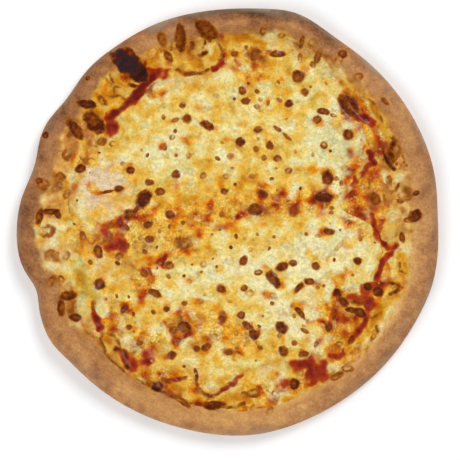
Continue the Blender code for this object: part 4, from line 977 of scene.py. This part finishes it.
def oven_browning(name):
    """Baked skin, from golden through brown to charred: soft browning, and bubbles by distance from their middle."""
    tree, given, out = new_group(
        name,
        (
            ("Color", COLOUR),
            ("Vector", VECTOR),
            ("Browning", FLOAT),
            ("Away", FLOAT),
            ("Char", FLOAT),
            ("Hollow", FLOAT),
        ),
        (("Color", COLOUR), ("Baked", FLOAT)),
    )
    lobed = speckle(tree, given["Vector"], 260, 2, offset=21)
    ragged = plus(tree, given["Away"], lobed, 0.15)
    # The lighter inside of a bubble: partly paler browned skin, partly a painted highlight
    cloudy = plus(tree, 1.0, speckle(tree, given["Vector"], 330, 1, offset=25), 0.7)
    inside = calc(tree, "MULTIPLY", given["Hollow"], cloudy)
    inside = calc(tree, "MINIMUM", inside, step(tree, given["Char"], 0.45, 0.75, 0.80, 0.46))
    skin = calc(tree, "MULTIPLY", step(tree, ragged, 1.32, 0.58), calc(tree, "SUBTRACT", 1.0, inside, clamp=True))
    mottled = plus(tree, 1.0, speckle(tree, given["Vector"], 190, 2, offset=31), 0.65)
    soft = calc(tree, "MULTIPLY", given["Browning"], mottled)
    browning = calc(tree, "MAXIMUM", soft, calc(tree, "MULTIPLY", skin, given["Char"]))
    uneven = calc(tree, "MULTIPLY", speckle(tree, given["Vector"], 380, 2), browning)
    brown = plus(tree, browning, uneven, 0.24)
    shown = step(tree, brown, 0.02, 0.46)
    browns = ramp(tree, calc(tree, "DIVIDE", brown, BROWNEST), BAKED_BROWNS)
    tree.links.new(mixed(tree, shown, given["Color"], browns, "DARKEN"), out["Color"])
    tree.links.new(shown, out["Baked"])
    return tree


GROUPS = {
    "topping_tones": topping_tones,
    "toasting": toasting,
    "tomato_stain": tomato_stain,
    "oven_browning": oven_browning,
}


def new_material(name):
    """A material's tree, its shader, its Object coordinates and a reader of attributes."""
    material = bpy.data.materials.new(name)
    material.use_nodes = True
    tree = material.node_tree
    shader = tree.nodes["Principled BSDF"]
    place = add(tree, "ShaderNodeTexCoord").outputs["Object"]

    def mask(key):
        return add(tree, "ShaderNodeAttribute", attribute_name=key).outputs["Fac"]

    return material, tree, shader, place, mask


def topping_colour(tree, place, mask):
    """The film of cheese and oil with its toasted places, before sauce and bubbles."""
    tones = use_group(
        tree, "topping_tones", Vector=place, Gold=mask("gold"), Orange=mask("orange"), Tint=mask("tint")
    )
    return use_group(tree, "toasting", Color=tones["Color"], Vector=place, Toast=mask("toast"))["Color"]


def bumps(tree, shader, heights, distance):
    """Fine relief from the sum of some heights."""
    total = heights[0]
    for height in heights[1:]:
        total = calc(tree, "ADD", total, height)
    inputs = {"Height": total, "Distance": distance, "Strength": 1.0}
    tree.links.new(add(tree, "ShaderNodeBump", inputs).outputs[0], shader.inputs["Normal"])


# Colours of the bare dough by how dark it is baked
BREAD_TONES = (
    (0.00, (0.78, 0.48, 0.18)),
    (0.22, (0.66, 0.355, 0.120)),
    (0.42, (0.54, 0.262, 0.096)),
    (0.62, (0.38, 0.160, 0.058)),
    (0.82, (0.22, 0.086, 0.034)),
    (1.00, (0.08, 0.036, 0.016)),
)


def skin_colour(tree, shader, place, mask, colour):
    """Links the colour with sauce and browning over it, and gives how wet and how baked each place is."""
    stained = use_group(tree, "tomato_stain", Color=colour, Vector=place, Tomato=mask("tomato"))
    masks = {key.capitalize(): mask(key) for key in ("browning", "away", "char", "hollow")}
    browned = use_group(tree, "oven_browning", Color=stained["Color"], Vector=place, **masks)
    tree.links.new(browned["Color"], shader.inputs["Base Color"])
    return stained["Wet"], browned["Baked"]


def set_inputs(shader, values):
    """Sets the shader's constant inputs, with those that all the food shares."""
    shared = {"Specular IOR Level": SPECULAR, "Coat Roughness": COAT_ROUGHNESS}
    for key, value in (shared | values).items():
        shader.inputs[key].default_value = value


def baked_dough(settings):
    """The crust: bread with ash and flour, painted shade at its outer edge, and the topping's film where it reaches.
    """
    material, tree, shader, place, mask = new_material("baked_dough")
    cloudy, grain, pores = speckle(tree, place, 55), speckle(tree, place, 520, 2), speckle(tree, place, 1500, offset=4)
    # How dark the bread is baked, and the painted shade that darkens its outer edge
    bake = plus(tree, plus(tree, plus(tree, mask("bake"), cloudy, 0.15), grain, 0.10), pores, 0.14)
    bake = plus(tree, bake, speckle(tree, place, 150, 1, offset=33), 0.09)
    light = plus(tree, plus(tree, 1.0, speckle(tree, place, 620, 2, offset=35), 0.13), pores, 0.09)
    bread = {0: ramp(tree, bake, BREAD_TONES), "Scale": light}
    bread = add(tree, "ShaderNodeVectorMath", bread, operation="SCALE").outputs[0]
    # Grey ash and flour, and the painted shade that greys the outer edge all round
    ash = calc(tree, "MULTIPLY", mask("ash"), step(tree, cloudy, -0.6, 0.4, 0.4, 1.0))
    bread = mixed(tree, ash, bread, tuple(settings.ash))
    edge = plus(tree, mask("topping"), speckle(tree, place, 120, 3, offset=2), 0.24)
    shown = step(tree, edge, 0.16, 0.84)
    colour = mixed(tree, shown, bread, topping_colour(tree, place, mask))
    _, baked = skin_colour(tree, shader, place, mask, colour)
    tree.links.new(step(tree, shown, 0, 1, settings.roughness, settings.oily_roughness), shader.inputs["Roughness"])
    tree.links.new(calc(tree, "MULTIPLY", baked, 0.08), shader.inputs["Coat Weight"])
    through = {"Subsurface Weight": 0.06, "Subsurface Radius": (1.0, 0.45, 0.2), "Subsurface Scale": 0.002}
    set_inputs(shader, through)
    crumb = calc(tree, "MULTIPLY", step(tree, pores, -0.9, -0.2), 0.7)
    bumps(tree, shader, (grain, crumb), settings.pore_depth)
    return material


def melted_cheese(settings):
    """Cheese with oily and dry ripples."""
    material, tree, shader, place, mask = new_material("melted_cheese")
    _, baked = skin_colour(tree, shader, place, mask, topping_colour(tree, place, mask))
    ripples, fine = speckle(tree, place, 170, 3), speckle(tree, place, 700, offset=6)
    tree.links.new(step(tree, ripples, -0.6, 0.6, settings.wettest, settings.driest), shader.inputs["Roughness"])
    coat = plus(tree, step(tree, ripples, 0.4, -0.6, 0.06, 0.34), baked, 0.08)
    tree.links.new(coat, shader.inputs["Coat Weight"])
    through = {"Subsurface Weight": 0.15, "Subsurface Radius": (1.0, 0.6, 0.25), "Subsurface Scale": 0.0018}
    set_inputs(shader, through)
    bumps(tree, shader, (ripples, calc(tree, "MULTIPLY", fine, 0.25)), settings.ripple_depth)
    return material


def tomato_sauce(settings):
    """The wet film of sauce and oil with its pulp."""
    material, tree, shader, place, mask = new_material("tomato_sauce")
    wet, baked = skin_colour(tree, shader, place, mask, topping_colour(tree, place, mask))
    pulp, fine = speckle(tree, place, 300, 4), speckle(tree, place, 900, offset=8)
    tree.links.new(step(tree, pulp, -0.6, 0.6, 0.2, 0.4), shader.inputs["Roughness"])
    coat = plus(tree, plus(tree, 0.12, wet, 0.14), baked, 0.06)
    tree.links.new(coat, shader.inputs["Coat Weight"])
    set_inputs(shader, {})
    bumps(tree, shader, (pulp, calc(tree, "MULTIPLY", fine, 0.3)), settings.pulp_depth)
    return material


def bubble_skin(name):
    """The browned skin of small bubbles: gold at the foot and brown on the crown."""
    material, tree, shader, place, mask = new_material(name)
    base = use_group(tree, "topping_tones", Vector=place, Gold=0.5, Orange=0.1, Tint=0.0)["Color"]
    crown = step(tree, mask("crown"), -0.1, 0.7)
    dark = calc(tree, "MULTIPLY", crown, step(tree, mask("shade"), 0.0, 1.0, 0.20, 0.50))
    browned = use_group(tree, "oven_browning", Color=base, Vector=place, Browning=dark, Away=FAR_AWAY)
    tree.links.new(browned["Color"], shader.inputs["Base Color"])
    set_inputs(shader, {"Roughness": 0.30, "Coat Weight": 0.15})
    bumps(tree, shader, (speckle(tree, place, 1200),), 0.0002)
    return material


def even_dough():
    """The even dough's profile, from the middle of its top round to the middle of its base."""
    floor = [(r, FLOOR_HEIGHT) for r in (0.03, 0.07, 0.1, 0.116)]
    slope = [
        (
            EDGE_RADIUS - CREST_INSET - (RIM_WIDTH - CREST_INSET) * share,
            FLOOR_HEIGHT + (RIM_HEIGHT - FLOOR_HEIGHT) * (0.5 + 0.5 * math.cos(math.pi * share)),
        )
        for share in np.linspace(1, 0, SLOPE_RINGS, endpoint=False)
    ]
    outer = [
        (EDGE_RADIUS - CREST_INSET * (1 - math.sin(a)), WIDEST_HEIGHT + (RIM_HEIGHT - WIDEST_HEIGHT) * math.cos(a))
        for a in np.linspace(0, math.pi / 2, OUTER_RINGS)
    ]
    under = [
        (EDGE_RADIUS - UNDERCUT * (1 - math.cos(a)), WIDEST_HEIGHT * (1 - math.sin(a)))
        for a in np.linspace(0, math.pi / 2, UNDER_RINGS)[1:]
    ]
    base = [(0.125, 0), (0.1, 0), (0.06, 0)]
    return np.array(floor + slope + outer + under + base), len(floor + slope + outer)


def dough_points():
    """Every point of the real, uneven dough: x, y, z, inset from the edge, and whether it is on top."""
    rings, top_count = even_dough()
    radius = np.repeat(rings[:, 0], RIM_STEPS)
    height = np.repeat(rings[:, 1], RIM_STEPS)
    on_top = np.repeat(np.arange(len(rings)) < top_count, RIM_STEPS)
    angle = np.tile(np.arange(RIM_STEPS) * 360 / RIM_STEPS, len(rings))
    edge, width, tall = edge_radius(angle), rim_width(angle), rim_height(angle)
    inset = EDGE_RADIUS - radius
    slope = edge - CREST_INSET - (inset - CREST_INSET) * (width - CREST_INSET) / (RIM_WIDTH - CREST_INSET)
    flat = radius * (edge - width) / (EDGE_RADIUS - RIM_WIDTH)
    reach = np.where(inset <= CREST_INSET, edge - inset, np.where(inset <= RIM_WIDTH, slope, flat))
    base = np.where(inset <= CREST_INSET, WIDEST_HEIGHT, FLOOR_HEIGHT)
    raised = (height > WIDEST_HEIGHT) | ((height > FLOOR_HEIGHT) & (inset > CREST_INSET))
    height = np.where(raised, base + (height - base) * (tall - base) / (RIM_HEIGHT - base), height)
    x, y = reach * np.cos(np.radians(angle)), reach * np.sin(np.radians(angle))
    return x, y, height + dough_relief(x, y, height), angle, edge - reach, on_top


def dough_piece():
    x, y, z, angle, inset, on_top = dough_points()
    rise = np.clip((z - WIDEST_HEIGHT) / (RIM_HEIGHT - WIDEST_HEIGHT), 0, 1) * on_top
    skin, halo, lift = bubble_masks(x, y, RIM_BLISTERS, [spot[6] for spot in RIM_BLISTERS])
    on_slope = smooth(0.001, 0.004, z - FLOOR_HEIGHT) * on_top
    tones = paint(x, y)
    band = swelled(angle, BAND_WIDTH, BAND_SWELLS)
    wobble = 0.0022 * ripple(x, y, 0.013, 51) + 0.0006 * ripple(x, y, 0.005, 52)
    topping = smooth(-0.0042, 0.0046, inset + wobble - band)
    lift = lift + frothy(x, y)[1] * topping
    bumpy = 0.00034 + 0.00040 * topping
    z = z + on_slope * (lift + bumpy * rough(x, y, 0.0060, 41)) + 0.0001 * rise * ripple(x, y, 0.0019, 45)
    scorch = smooth(0.1, 0.75, rough(x, y, 0.011, 61)) * (1 - on_top)
    bake = swelled(angle, BAND_BAKE, BAND_BAKE_SWELLS) - 0.05 * smooth(0.006, 0.015, inset)
    # Darker within 11 mm of the outer edge, most at the top: painted shade of the steep outer side
    bake = bake + (0.10 + 0.26 * bell(angle, 84, 28)) * smooth(0.011, 0.001, inset)
    bake = bake + 0.07 * ripple(x, y, 0.016, 63) + 0.05 * ripple(x, y, 0.006, 65)
    bake = bake - 0.10 * smooth(0.6, 1.0, topping)
    bake = bake - 0.56 * bell(angle, 320, 38) * smooth(0.012, 0.018, inset) + 0.10 * bell(angle, 138, 20)
    bake = bake + 0.14 * bell(angle, 72, 16) * smooth(0.013, 0.006, inset)
    fringe = 0.24 * smooth(0.0050, 0.0006, np.abs(inset + 1.6 * wobble - band - 0.0012))
    fringe = fringe * smooth(-0.3, 0.7, rough(x, y, 0.012, 55, 2))
    # Greyer all round the outer edge: painted shade of the steep outer side, in the ash colour
    painted_edge_shade = 0.56 * smooth(0.0048, 0.0008, inset) * smooth(-0.8, 0.5, rough(x, y, 0.030, 57, 2))
    flour = 0.16 * bell(angle, 0, 52) * smooth(0.012, 0.004, inset)
    masks = {
        "bake": np.where(on_top, bake, 0.44 + 0.45 * scorch),
        "ash": on_top * np.clip(patches(x, y, ASH_PATCHES) * smooth(0.013, 0.002, inset) + painted_edge_shade + flour, 0, 1),
        "topping": on_top * topping,
        "gold": tones["gold"],
        "tint": tones["tint"],
        "toast": np.minimum(tones["toast"], MOST_TOAST) + 0.16 * smooth(0.0090, 0.0010, np.abs(inset - band)),
        "orange": tones["orange"] + 0.30 * halo * topping,
        "browning": on_top * np.maximum(fringe, tones["browning"] * topping),
        "away": np.where(on_top, skin["away"], FAR_AWAY),
        "char": skin["char"],
        "hollow": skin["hollow"],
        "tomato": on_top * tones["tomato"] * topping,
    }
    steps, rings = RIM_STEPS, len(x) // RIM_STEPS
    faces = []
    for ring in range(rings - 1):
        for i in range(steps):
            j = (i + 1) % steps
            a, b = ring * steps, (ring + 1) * steps
            faces.append((a + i, b + i, b + j, a + j))
    first, last = len(x), len(x) + 1
    faces += [(first, i, (i + 1) % steps) for i in range(steps)]
    tail = (rings - 1) * steps
    faces += [(last, tail + (i + 1) % steps, tail + i) for i in range(steps)]
    points = np.vstack((np.column_stack((x, y, z)), [(0, 0, FLOOR_HEIGHT), (0, 0, 0)]))
    masks = {key: np.append(values, (values[0], values[-1])) for key, values in masks.items()}
    return new_mesh_object("baked_crust", points, faces, masks)


def sauce_edge(angle):
    x, y = np.cos(np.radians(angle)), np.sin(np.radians(angle))
    wander = 0.0012 * rough(x, y, 0.2, 35)
    return edge_radius(angle) - rim_width(angle) + SAUCE_CLIMB + wander


def rounded(from_edge, reach):
    """A rounded edge: 0 at the edge itself, 1 from the reach inwards."""
    return np.sqrt(1 - (1 - np.clip(from_edge / reach, 0, 1)) ** 2)


def laid_on(surface, from_edge):
    """Just over a surface, but with the edge melted a little into it."""
    return surface + LAYER_GAP - (LAYER_GAP + EDGE_SINK) * smooth(0.0035, 0, from_edge)


def sauce_depth(x, y):
    radius, angle = polar(x, y)
    return SAUCE_THICKNESS * rounded(sauce_edge(angle) - radius, SAUCE_TAPER)


def sauce_piece():
    def bed(x, y):
        radius, angle = polar(x, y)
        return laid_on(dough_height(x, y), sauce_edge(angle) - radius)

    def depth(x, y, share):
        relief = 0.00026 * rough(x, y, 0.0045, 81) + frothy(x, y)[1]
        return sauce_depth(x, y) + relief * smooth(1, 0.9, share)

    def masks_at(x, y):
        skin, halo, _ = bubble_masks(x, y, ALL_BUBBLES, [0] * len(ALL_BUBBLES))
        masks = paint(x, y) | skin
        masks["orange"] = masks["orange"] + 0.36 * halo
        return masks

    return sheet_piece(SAUCE_CELLS, sauce_edge, bed, depth, masks_at, SAUCE_CROWDING)


def cheese_depth(x, y, share):
    angle = polar(x, y)[1]
    thick = CHEESE_THICKNESS + 0.0004 * rough(x, y, 0.017, 91)
    for middle_x, middle_y, radius, extra in CHEESE_LUMPS:
        thick = thick + extra * np.exp(-(((x - middle_x) ** 2 + (y - middle_y) ** 2) / radius**2))
    thick = thick * (1 - 0.45 * share**8)
    thick = thick + (0.00034 * rough(x, y, 0.0060, 94) + 0.00010 * ripple(x, y, 0.0019, 97)) * smooth(1, 0.97, share)
    from_edge = (1 - share) * cheese_edge(angle)
    crisp = 0.15 + 0.85 * bell(angle, *CRISP_SIDE)
    return thick * (crisp * rounded(from_edge, CHEESE_TAPER) + (1 - crisp) * smooth(0, SOFT_TAPER, from_edge))


def cheese_piece(settings):
    spots = CHEESE_BUBBLES

    def bed(x, y):
        radius, angle = polar(x, y)
        return laid_on(dough_height(x, y) + sauce_depth(x, y) + LAYER_GAP, cheese_edge(angle) - radius)

    def depth(x, y, share):
        lift = bubble_masks(x, y, spots, [settings.bubble_rise * spot[3] for spot in spots])[2]
        return cheese_depth(x, y, share) + (lift + 0.6 * frothy(x, y)[1]) * smooth(1, 0.97, share)

    def masks_at(x, y):
        skin, halo, _ = bubble_masks(x, y, ALL_BUBBLES, [0] * len(ALL_BUBBLES))
        masks = paint(x, y) | skin
        radius, angle = polar(x, y)
        crisp = bell(angle, *CRISP_SIDE) * smooth(0.011, 0.003, cheese_edge(angle) - radius)
        for key, share in (("orange", 0.75), ("tomato", 0.3), ("toast", 0.8), ("gold", 0.4)):
            masks[key] = masks[key] * (1 - share * crisp)
        masks["orange"] = masks["orange"] + 0.37 * halo
        specks = np.clip(0.25 + masks["gold"] + masks["orange"] - masks["tomato"], 0, 1)
        masks["specks"] = specks * smooth(0.3, 0.0, halo)
        return masks

    return sheet_piece(CHEESE_CELLS, cheese_edge, bed, depth, masks_at)


def scrap_piece():
    """The small patch of cheese by itself on the right."""

    def outline(angle):
        bend = np.radians(angle - SCRAP_TURN)
        even = 1 / np.hypot(np.cos(bend) / SCRAP_HALF_LENGTH, np.sin(bend) / SCRAP_HALF_WIDTH)
        return even * (1.06 + 0.22 * rough(np.cos(bend), np.sin(bend), 0.7, 101))

    def bed(x, y):
        from_edge = outline(polar(x, y)[1]) - np.hypot(x, y)
        x, y = x + SCRAP_MIDDLE[0], y + SCRAP_MIDDLE[1]
        return laid_on(dough_height(x, y) + sauce_depth(x, y) + LAYER_GAP, from_edge)

    def depth(x, y, share):
        thick = SCRAP_THICKNESS * (1 - 0.4 * share**4) + 0.00022 * rough(x, y, 0.004, 104) * smooth(1, 0.9, share)
        return thick * rounded((1 - share) * SCRAP_HALF_WIDTH, CHEESE_TAPER)

    def masks_at(x, y):
        flat = np.zeros(x.shape)
        return {
            "gold": flat + 0.60 + 0.25 * ripple(x, y, 0.006, 107),
            "orange": flat + 0.06 + 0.3 * smooth(0.6, 1.1, np.hypot(x, y) / SCRAP_HALF_LENGTH),
            "browning": flat,
            "away": flat + FAR_AWAY,
            "char": flat,
            "hollow": flat,
            "toast": flat + 0.42,
            "tint": flat + 0.5,
            "tomato": flat,
        }

    points, *rest = sheet_piece(SCRAP_CELLS, outline, bed, depth, masks_at)
    return points + np.array([*SCRAP_MIDDLE, 0]), *rest


# The least length of a bead as a share of its width
SHORTEST = 0.8


def random_value(tree, low, high, seed):
    inputs = {"Min": low, "Max": high, "Seed": seed}
    return add(tree, "FunctionNodeRandomValue", inputs, data_type="FLOAT").outputs["Value"]


def kept_value(tree, geometry, name, value, domain):
    """The geometry with a value kept on it under a name."""
    inputs = {"Geometry": geometry, "Name": name, "Value": value}
    return add(tree, "GeometryNodeStoreNamedAttribute", inputs, data_type="FLOAT", domain=domain).outputs[0]


def scatter_tree():
    """Geometry Nodes that scatter sunk, squashed beads over a surface, more where its mask is strong."""
    tree = bpy.data.node_groups.new("scattered_beads", "GeometryNodeTree")
    tree.interface.new_socket("Geometry", in_out="INPUT", socket_type="NodeSocketGeometry")
    for label, kind in SCATTER_INPUTS:
        tree.interface.new_socket(label, in_out="INPUT", socket_type=kind)
    tree.interface.new_socket("Geometry", in_out="OUTPUT", socket_type="NodeSocketGeometry")
    given, out = add(tree, "NodeGroupInput").outputs, add(tree, "NodeGroupOutput").inputs
    mask = add(tree, "GeometryNodeInputNamedAttribute", {"Name": "specks"}, data_type="FLOAT").outputs["Attribute"]
    places = add(
        tree,
        "GeometryNodeDistributePointsOnFaces",
        {
            "Mesh": given["Geometry"],
            "Distance Min": given["Spacing"],
            "Density Max": given["Density"],
            "Density Factor": mask,
            "Seed": given["Seed"],
        },
        distribute_method="POISSON",
    )
    bead = add(tree, "GeometryNodeMeshIcoSphere", {"Radius": 1.0, "Subdivisions": 2}).outputs["Mesh"]
    height = add(tree, "ShaderNodeSeparateXYZ", {0: add(tree, "GeometryNodeInputPosition").outputs[0]}).outputs["Z"]
    bead = kept_value(tree, bead, "crown", height, "POINT")
    size = random_value(tree, given["Smallest"], given["Largest"], given["Seed"])
    long = calc(tree, "MULTIPLY", size, random_value(tree, SHORTEST, given["Stretch"], 5))
    low = calc(tree, "MULTIPLY", size, given["Flatness"])
    scale = add(tree, "ShaderNodeCombineXYZ", {"X": long, "Y": size, "Z": low}).outputs[0]
    spin = add(tree, "ShaderNodeCombineXYZ", {"Z": random_value(tree, 0.0, math.tau, 9)}).outputs[0]
    turn = add(
        tree,
        "FunctionNodeRotateRotation",
        {"Rotation": places.outputs["Rotation"], "Rotate By": spin},
        rotation_space="LOCAL",
    ).outputs[0]
    beads = add(
        tree,
        "GeometryNodeInstanceOnPoints",
        {"Points": places.outputs["Points"], "Instance": bead, "Rotation": turn, "Scale": scale},
    ).outputs[0]
    beads = kept_value(tree, beads, "shade", random_value(tree, 0.0, 1.0, 13), "INSTANCE")
    solid = add(tree, "GeometryNodeRealizeInstances", {"Geometry": beads}).outputs[0]
    finished = add(tree, "GeometryNodeSetMaterial", {"Geometry": solid, "Material": given["Material"]}).outputs[0]
    tree.links.new(finished, out["Geometry"])
    return tree


SCATTER_INPUTS = (
    ("Spacing", FLOAT),
    ("Density", FLOAT),
    ("Smallest", FLOAT),
    ("Largest", FLOAT),
    ("Stretch", FLOAT),
    ("Flatness", FLOAT),
    ("Seed", "NodeSocketInt"),
    ("Material", "NodeSocketMaterial"),
)


def scattered(name, host, material, **values):
    """A plain mesh of beads scattered over the host, as its own object."""
    tree = bpy.data.node_groups.get("scattered_beads") or scatter_tree()
    piece = bpy.data.objects.new(name, host.data.copy())
    bpy.context.scene.collection.objects.link(piece)
    modifier = piece.modifiers.new("scatter", "NODES")
    modifier.node_group = tree
    sockets = {item.name: item.identifier for item in tree.interface.items_tree if item.in_out == "INPUT"}
    for key, value in values.items():
        modifier[sockets[key]] = value
    modifier[sockets["Material"]] = material
    evaluated = piece.evaluated_get(bpy.context.evaluated_depsgraph_get())
    mesh = bpy.data.meshes.new_from_object(evaluated)
    piece.modifiers.clear()
    old = piece.data
    piece.data = mesh
    bpy.data.meshes.remove(old)
    mesh.name = name
    mesh.shade_smooth()
    if not mesh.polygons:
        raise RuntimeError(f"{name}: nothing was scattered")
    return piece


def finished(piece, material, node=None, slot=None):
    """Gives a piece its material, hangs it on the root body and hides the solid part that it stands for."""
    if material:
        piece.data.materials.clear()
        piece.data.materials.append(material)
    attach(piece, "root")
    if node:
        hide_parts(node)


def size_prop(name, description, default):
    return bpy.props.FloatProperty(
        name=name, description=description, default=default, subtype="DISTANCE", unit="LENGTH"
    )


def share_prop(name, description, default):
    return bpy.props.FloatProperty(name=name, description=description, default=default, min=0, max=1, subtype="FACTOR")


def colour_prop(name, description, default):
    return bpy.props.FloatVectorProperty(
        name=name, description=description, default=default, size=3, min=0, max=1, subtype="COLOR"
    )


class CrustSettings(bpy.types.PropertyGroup):
    roughness: share_prop("Roughness", "Roughness of the bare baked dough", 0.72)
    oily_roughness: share_prop("Oily roughness", "Roughness of the dough under the topping's film", 0.32)
    pore_depth: size_prop("Pore depth", "Depth of the fine pores and wrinkles", 0.0003)
    # This colour also greys the outer edge all round, as painted shade
    ash: colour_prop("Ash", "Colour of the ash and flour at the edge", (0.38, 0.275, 0.185))


class SauceSettings(bpy.types.PropertyGroup):
    pulp_depth: size_prop("Pulp depth", "Depth of the sauce's fine pulp", 0.0006)


class CheeseSettings(bpy.types.PropertyGroup):
    bubble_rise: share_prop("Bubble rise", "Height of a browned bubble as a share of its width", 0.15)
    ripple_depth: size_prop("Ripple depth", "Depth of the cheese's fine ripples", 0.0009)
    wettest: share_prop("Wettest", "Roughness of the oiliest cheese", 0.20)
    driest: share_prop("Driest", "Roughness of the driest cheese", 0.45)


class SpeckSettings(bpy.types.PropertyGroup):
    bubble_smallest: size_prop("Smallest bubble", "Radius of the smallest browned bubble", 0.0008)
    bubble_largest: size_prop("Largest bubble", "Radius of the largest small bubble", 0.0018)


class StageSettings(bpy.types.PropertyGroup):
    camera_height: size_prop("Camera height", "Height of the camera over the table", 1.5)
    picture_width: size_prop("Picture width", "Width of the view at the rim's height", 0.322)
    floor: colour_prop("Floor", "Colour of the table", (0.90, 0.91, 0.92))
    glow: share_prop("Glow", "How strongly the lit table shines from below", 0.10)


class PIZZA_OT_crust(bpy.types.Operator):
    """Build the baked crust with its blisters"""

    bl_idname = "pizza.crust"
    bl_label = "Crust"

    def execute(self, context):
        settings = context.scene.pizza_crust
        finished(dough_piece(), baked_dough(settings), "dough_crust", "baked_dough")
        return {"FINISHED"}


class PIZZA_OT_sauce(bpy.types.Operator):
    """Build the film of tomato sauce"""

    bl_idname = "pizza.sauce"
    bl_label = "Sauce"

    def execute(self, context):
        settings = context.scene.pizza_sauce
        piece = new_mesh_object("sauce_film", *sauce_piece())
        finished(piece, tomato_sauce(settings), "tomato_sauce", "sauce")
        return {"FINISHED"}


class PIZZA_OT_cheese(bpy.types.Operator):
    """Build the sheet of melted cheese and the small patch beside it"""

    bl_idname = "pizza.cheese"
    bl_label = "Cheese"

    def execute(self, context):
        settings = context.scene.pizza_cheese
        material = melted_cheese(settings)
        finished(new_mesh_object("cheese_sheet", *cheese_piece(settings)), material, "melted_cheese", "cheese")
        finished(new_mesh_object("loose_cheese", *scrap_piece()), material, "cheese_scrap", "cheese")
        return {"FINISHED"}


class PIZZA_OT_specks(bpy.types.Operator):
    """Scatter small browned bubbles over the cheese"""

    bl_idname = "pizza.specks"
    bl_label = "Specks"

    def execute(self, context):
        settings = context.scene.pizza_specks
        skin = bubble_skin("bubble_skin")
        cheese = bpy.data.objects["cheese_sheet"]
        bubbles = scattered(
            "small_bubbles",
            cheese,
            skin,
            Spacing=0.0050,
            Density=9000.0,
            Smallest=settings.bubble_smallest,
            Largest=settings.bubble_largest,
            Stretch=1.7,
            Flatness=0.28,
            Seed=3,
        )
        finished(bubbles, None, slot="cheese")
        return {"FINISHED"}


class PIZZA_OT_stage(bpy.types.Operator):
    """Set up the white table, the soft light and the camera straight above"""

    bl_idname = "pizza.stage"
    bl_label = "Stage"

    def execute(self, context):
        settings = context.scene.pizza_stage
        scene = context.scene
        scene.view_settings.view_transform = "Standard"
        scene.view_settings.look = "None"
        corners = [(x * TABLE_HALF, y * TABLE_HALF, 0) for x, y in ((-1, -1), (1, -1), (1, 1), (-1, 1))]
        mesh = bpy.data.meshes.new("table")
        mesh.from_pydata(corners, [], [(0, 1, 2, 3)])
        table = bpy.data.objects.new("table", mesh)
        scene.collection.objects.link(table)
        material, tree, shader, _, _ = new_material("white_table")
        shader.inputs["Base Color"].default_value = (*settings.floor, 1)
        shader.inputs["Roughness"].default_value = 0.9
        shader.inputs["Specular IOR Level"].default_value = 0.1
        shader.inputs["Emission Color"].default_value = (1, 1, 1, 1)
        shader.inputs["Emission Strength"].default_value = settings.glow
        mesh.materials.append(material)

        world = bpy.data.worlds.new("studio")
        world.use_nodes = True
        tree = world.node_tree
        up = add(tree, "ShaderNodeTexCoord").outputs["Generated"]
        up = add(tree, "ShaderNodeSeparateXYZ", {0: up}).outputs["Z"]
        inputs = {"Value": up, "From Min": 0, "From Max": 1, "To Min": SKY_LOW, "To Max": SKY_HIGH}
        strength = add(tree, "ShaderNodeMapRange", inputs).outputs["Result"]
        tree.nodes["Background"].inputs["Color"].default_value = (1, 1, 1, 1)
        tree.links.new(strength, tree.nodes["Background"].inputs["Strength"])
        scene.world = world
        for name, place, width, power in LAMPS:
            light = bpy.data.lights.new(name, "AREA")
            light.shape = "SQUARE"
            light.size = width
            light.energy = power
            lamp = bpy.data.objects.new(name, light)
            lamp.location = place
            lamp.rotation_euler = (-Vector(place)).to_track_quat("-Z", "Y").to_euler()
            scene.collection.objects.link(lamp)

        camera = bpy.data.cameras.new("camera")
        camera.sensor_width = SENSOR
        camera.lens = SENSOR * (settings.camera_height - RIM_LEVEL) / settings.picture_width
        camera.clip_end = 20
        eye = bpy.data.objects.new("camera", camera)
        eye.location = (*CAMERA_PLACE, settings.camera_height)
        scene.collection.objects.link(eye)
        scene.camera = eye
        return {"FINISHED"}


class PIZZA_PT_panel(bpy.types.Panel):
    """The pizza's pieces"""

    bl_label = "Pizza"
    bl_idname = "PIZZA_PT_panel"
    bl_space_type = "VIEW_3D"
    bl_region_type = "UI"
    bl_category = "Pizza"

    def draw(self, context):
        for operator in OPERATORS:
            self.layout.operator(operator.bl_idname)
        for key, settings in SETTINGS.items():
            box = self.layout.box()
            box.label(text=settings.__name__.replace("Settings", ""))
            for label in settings.__annotations__:
                box.prop(getattr(context.scene, key), label)


# The stage: how bright the sky is by the horizon and overhead, then each lamp's name, place, width and power
SKY_LOW = 1.2
SKY_HIGH = 0.12
LAMPS = (
    ("key_lamp", (0.85, 1.05, 1.5), 0.8, 20),
    ("fill_lamp", (-1.0, -0.85, 1.5), 1.2, 16),
)
SENSOR = 36
RIM_LEVEL = 0.010
CAMERA_PLACE = (0.00175, -0.0056)

OPERATORS = (PIZZA_OT_crust, PIZZA_OT_sauce, PIZZA_OT_cheese, PIZZA_OT_specks, PIZZA_OT_stage)
SETTINGS = {
    "pizza_crust": CrustSettings,
    "pizza_sauce": SauceSettings,
    "pizza_cheese": CheeseSettings,
    "pizza_specks": SpeckSettings,
    "pizza_stage": StageSettings,
}


def register():
    for kind in (*SETTINGS.values(), *OPERATORS, PIZZA_PT_panel):
        bpy.utils.register_class(kind)
    for key, settings in SETTINGS.items():
        setattr(bpy.types.Scene, key, bpy.props.PointerProperty(type=settings))


def unregister():
    for key in SETTINGS:
        delattr(bpy.types.Scene, key)
    for kind in (PIZZA_PT_panel, *reversed(OPERATORS), *reversed(SETTINGS.values())):
        bpy.utils.unregister_class(kind)


def main():
    register()
    bpy.ops.pizza.crust()
    bpy.ops.pizza.sauce()
    bpy.ops.pizza.cheese()
    bpy.ops.pizza.specks()
    bpy.ops.pizza.stage()


if __name__ == "__main__":
    main()
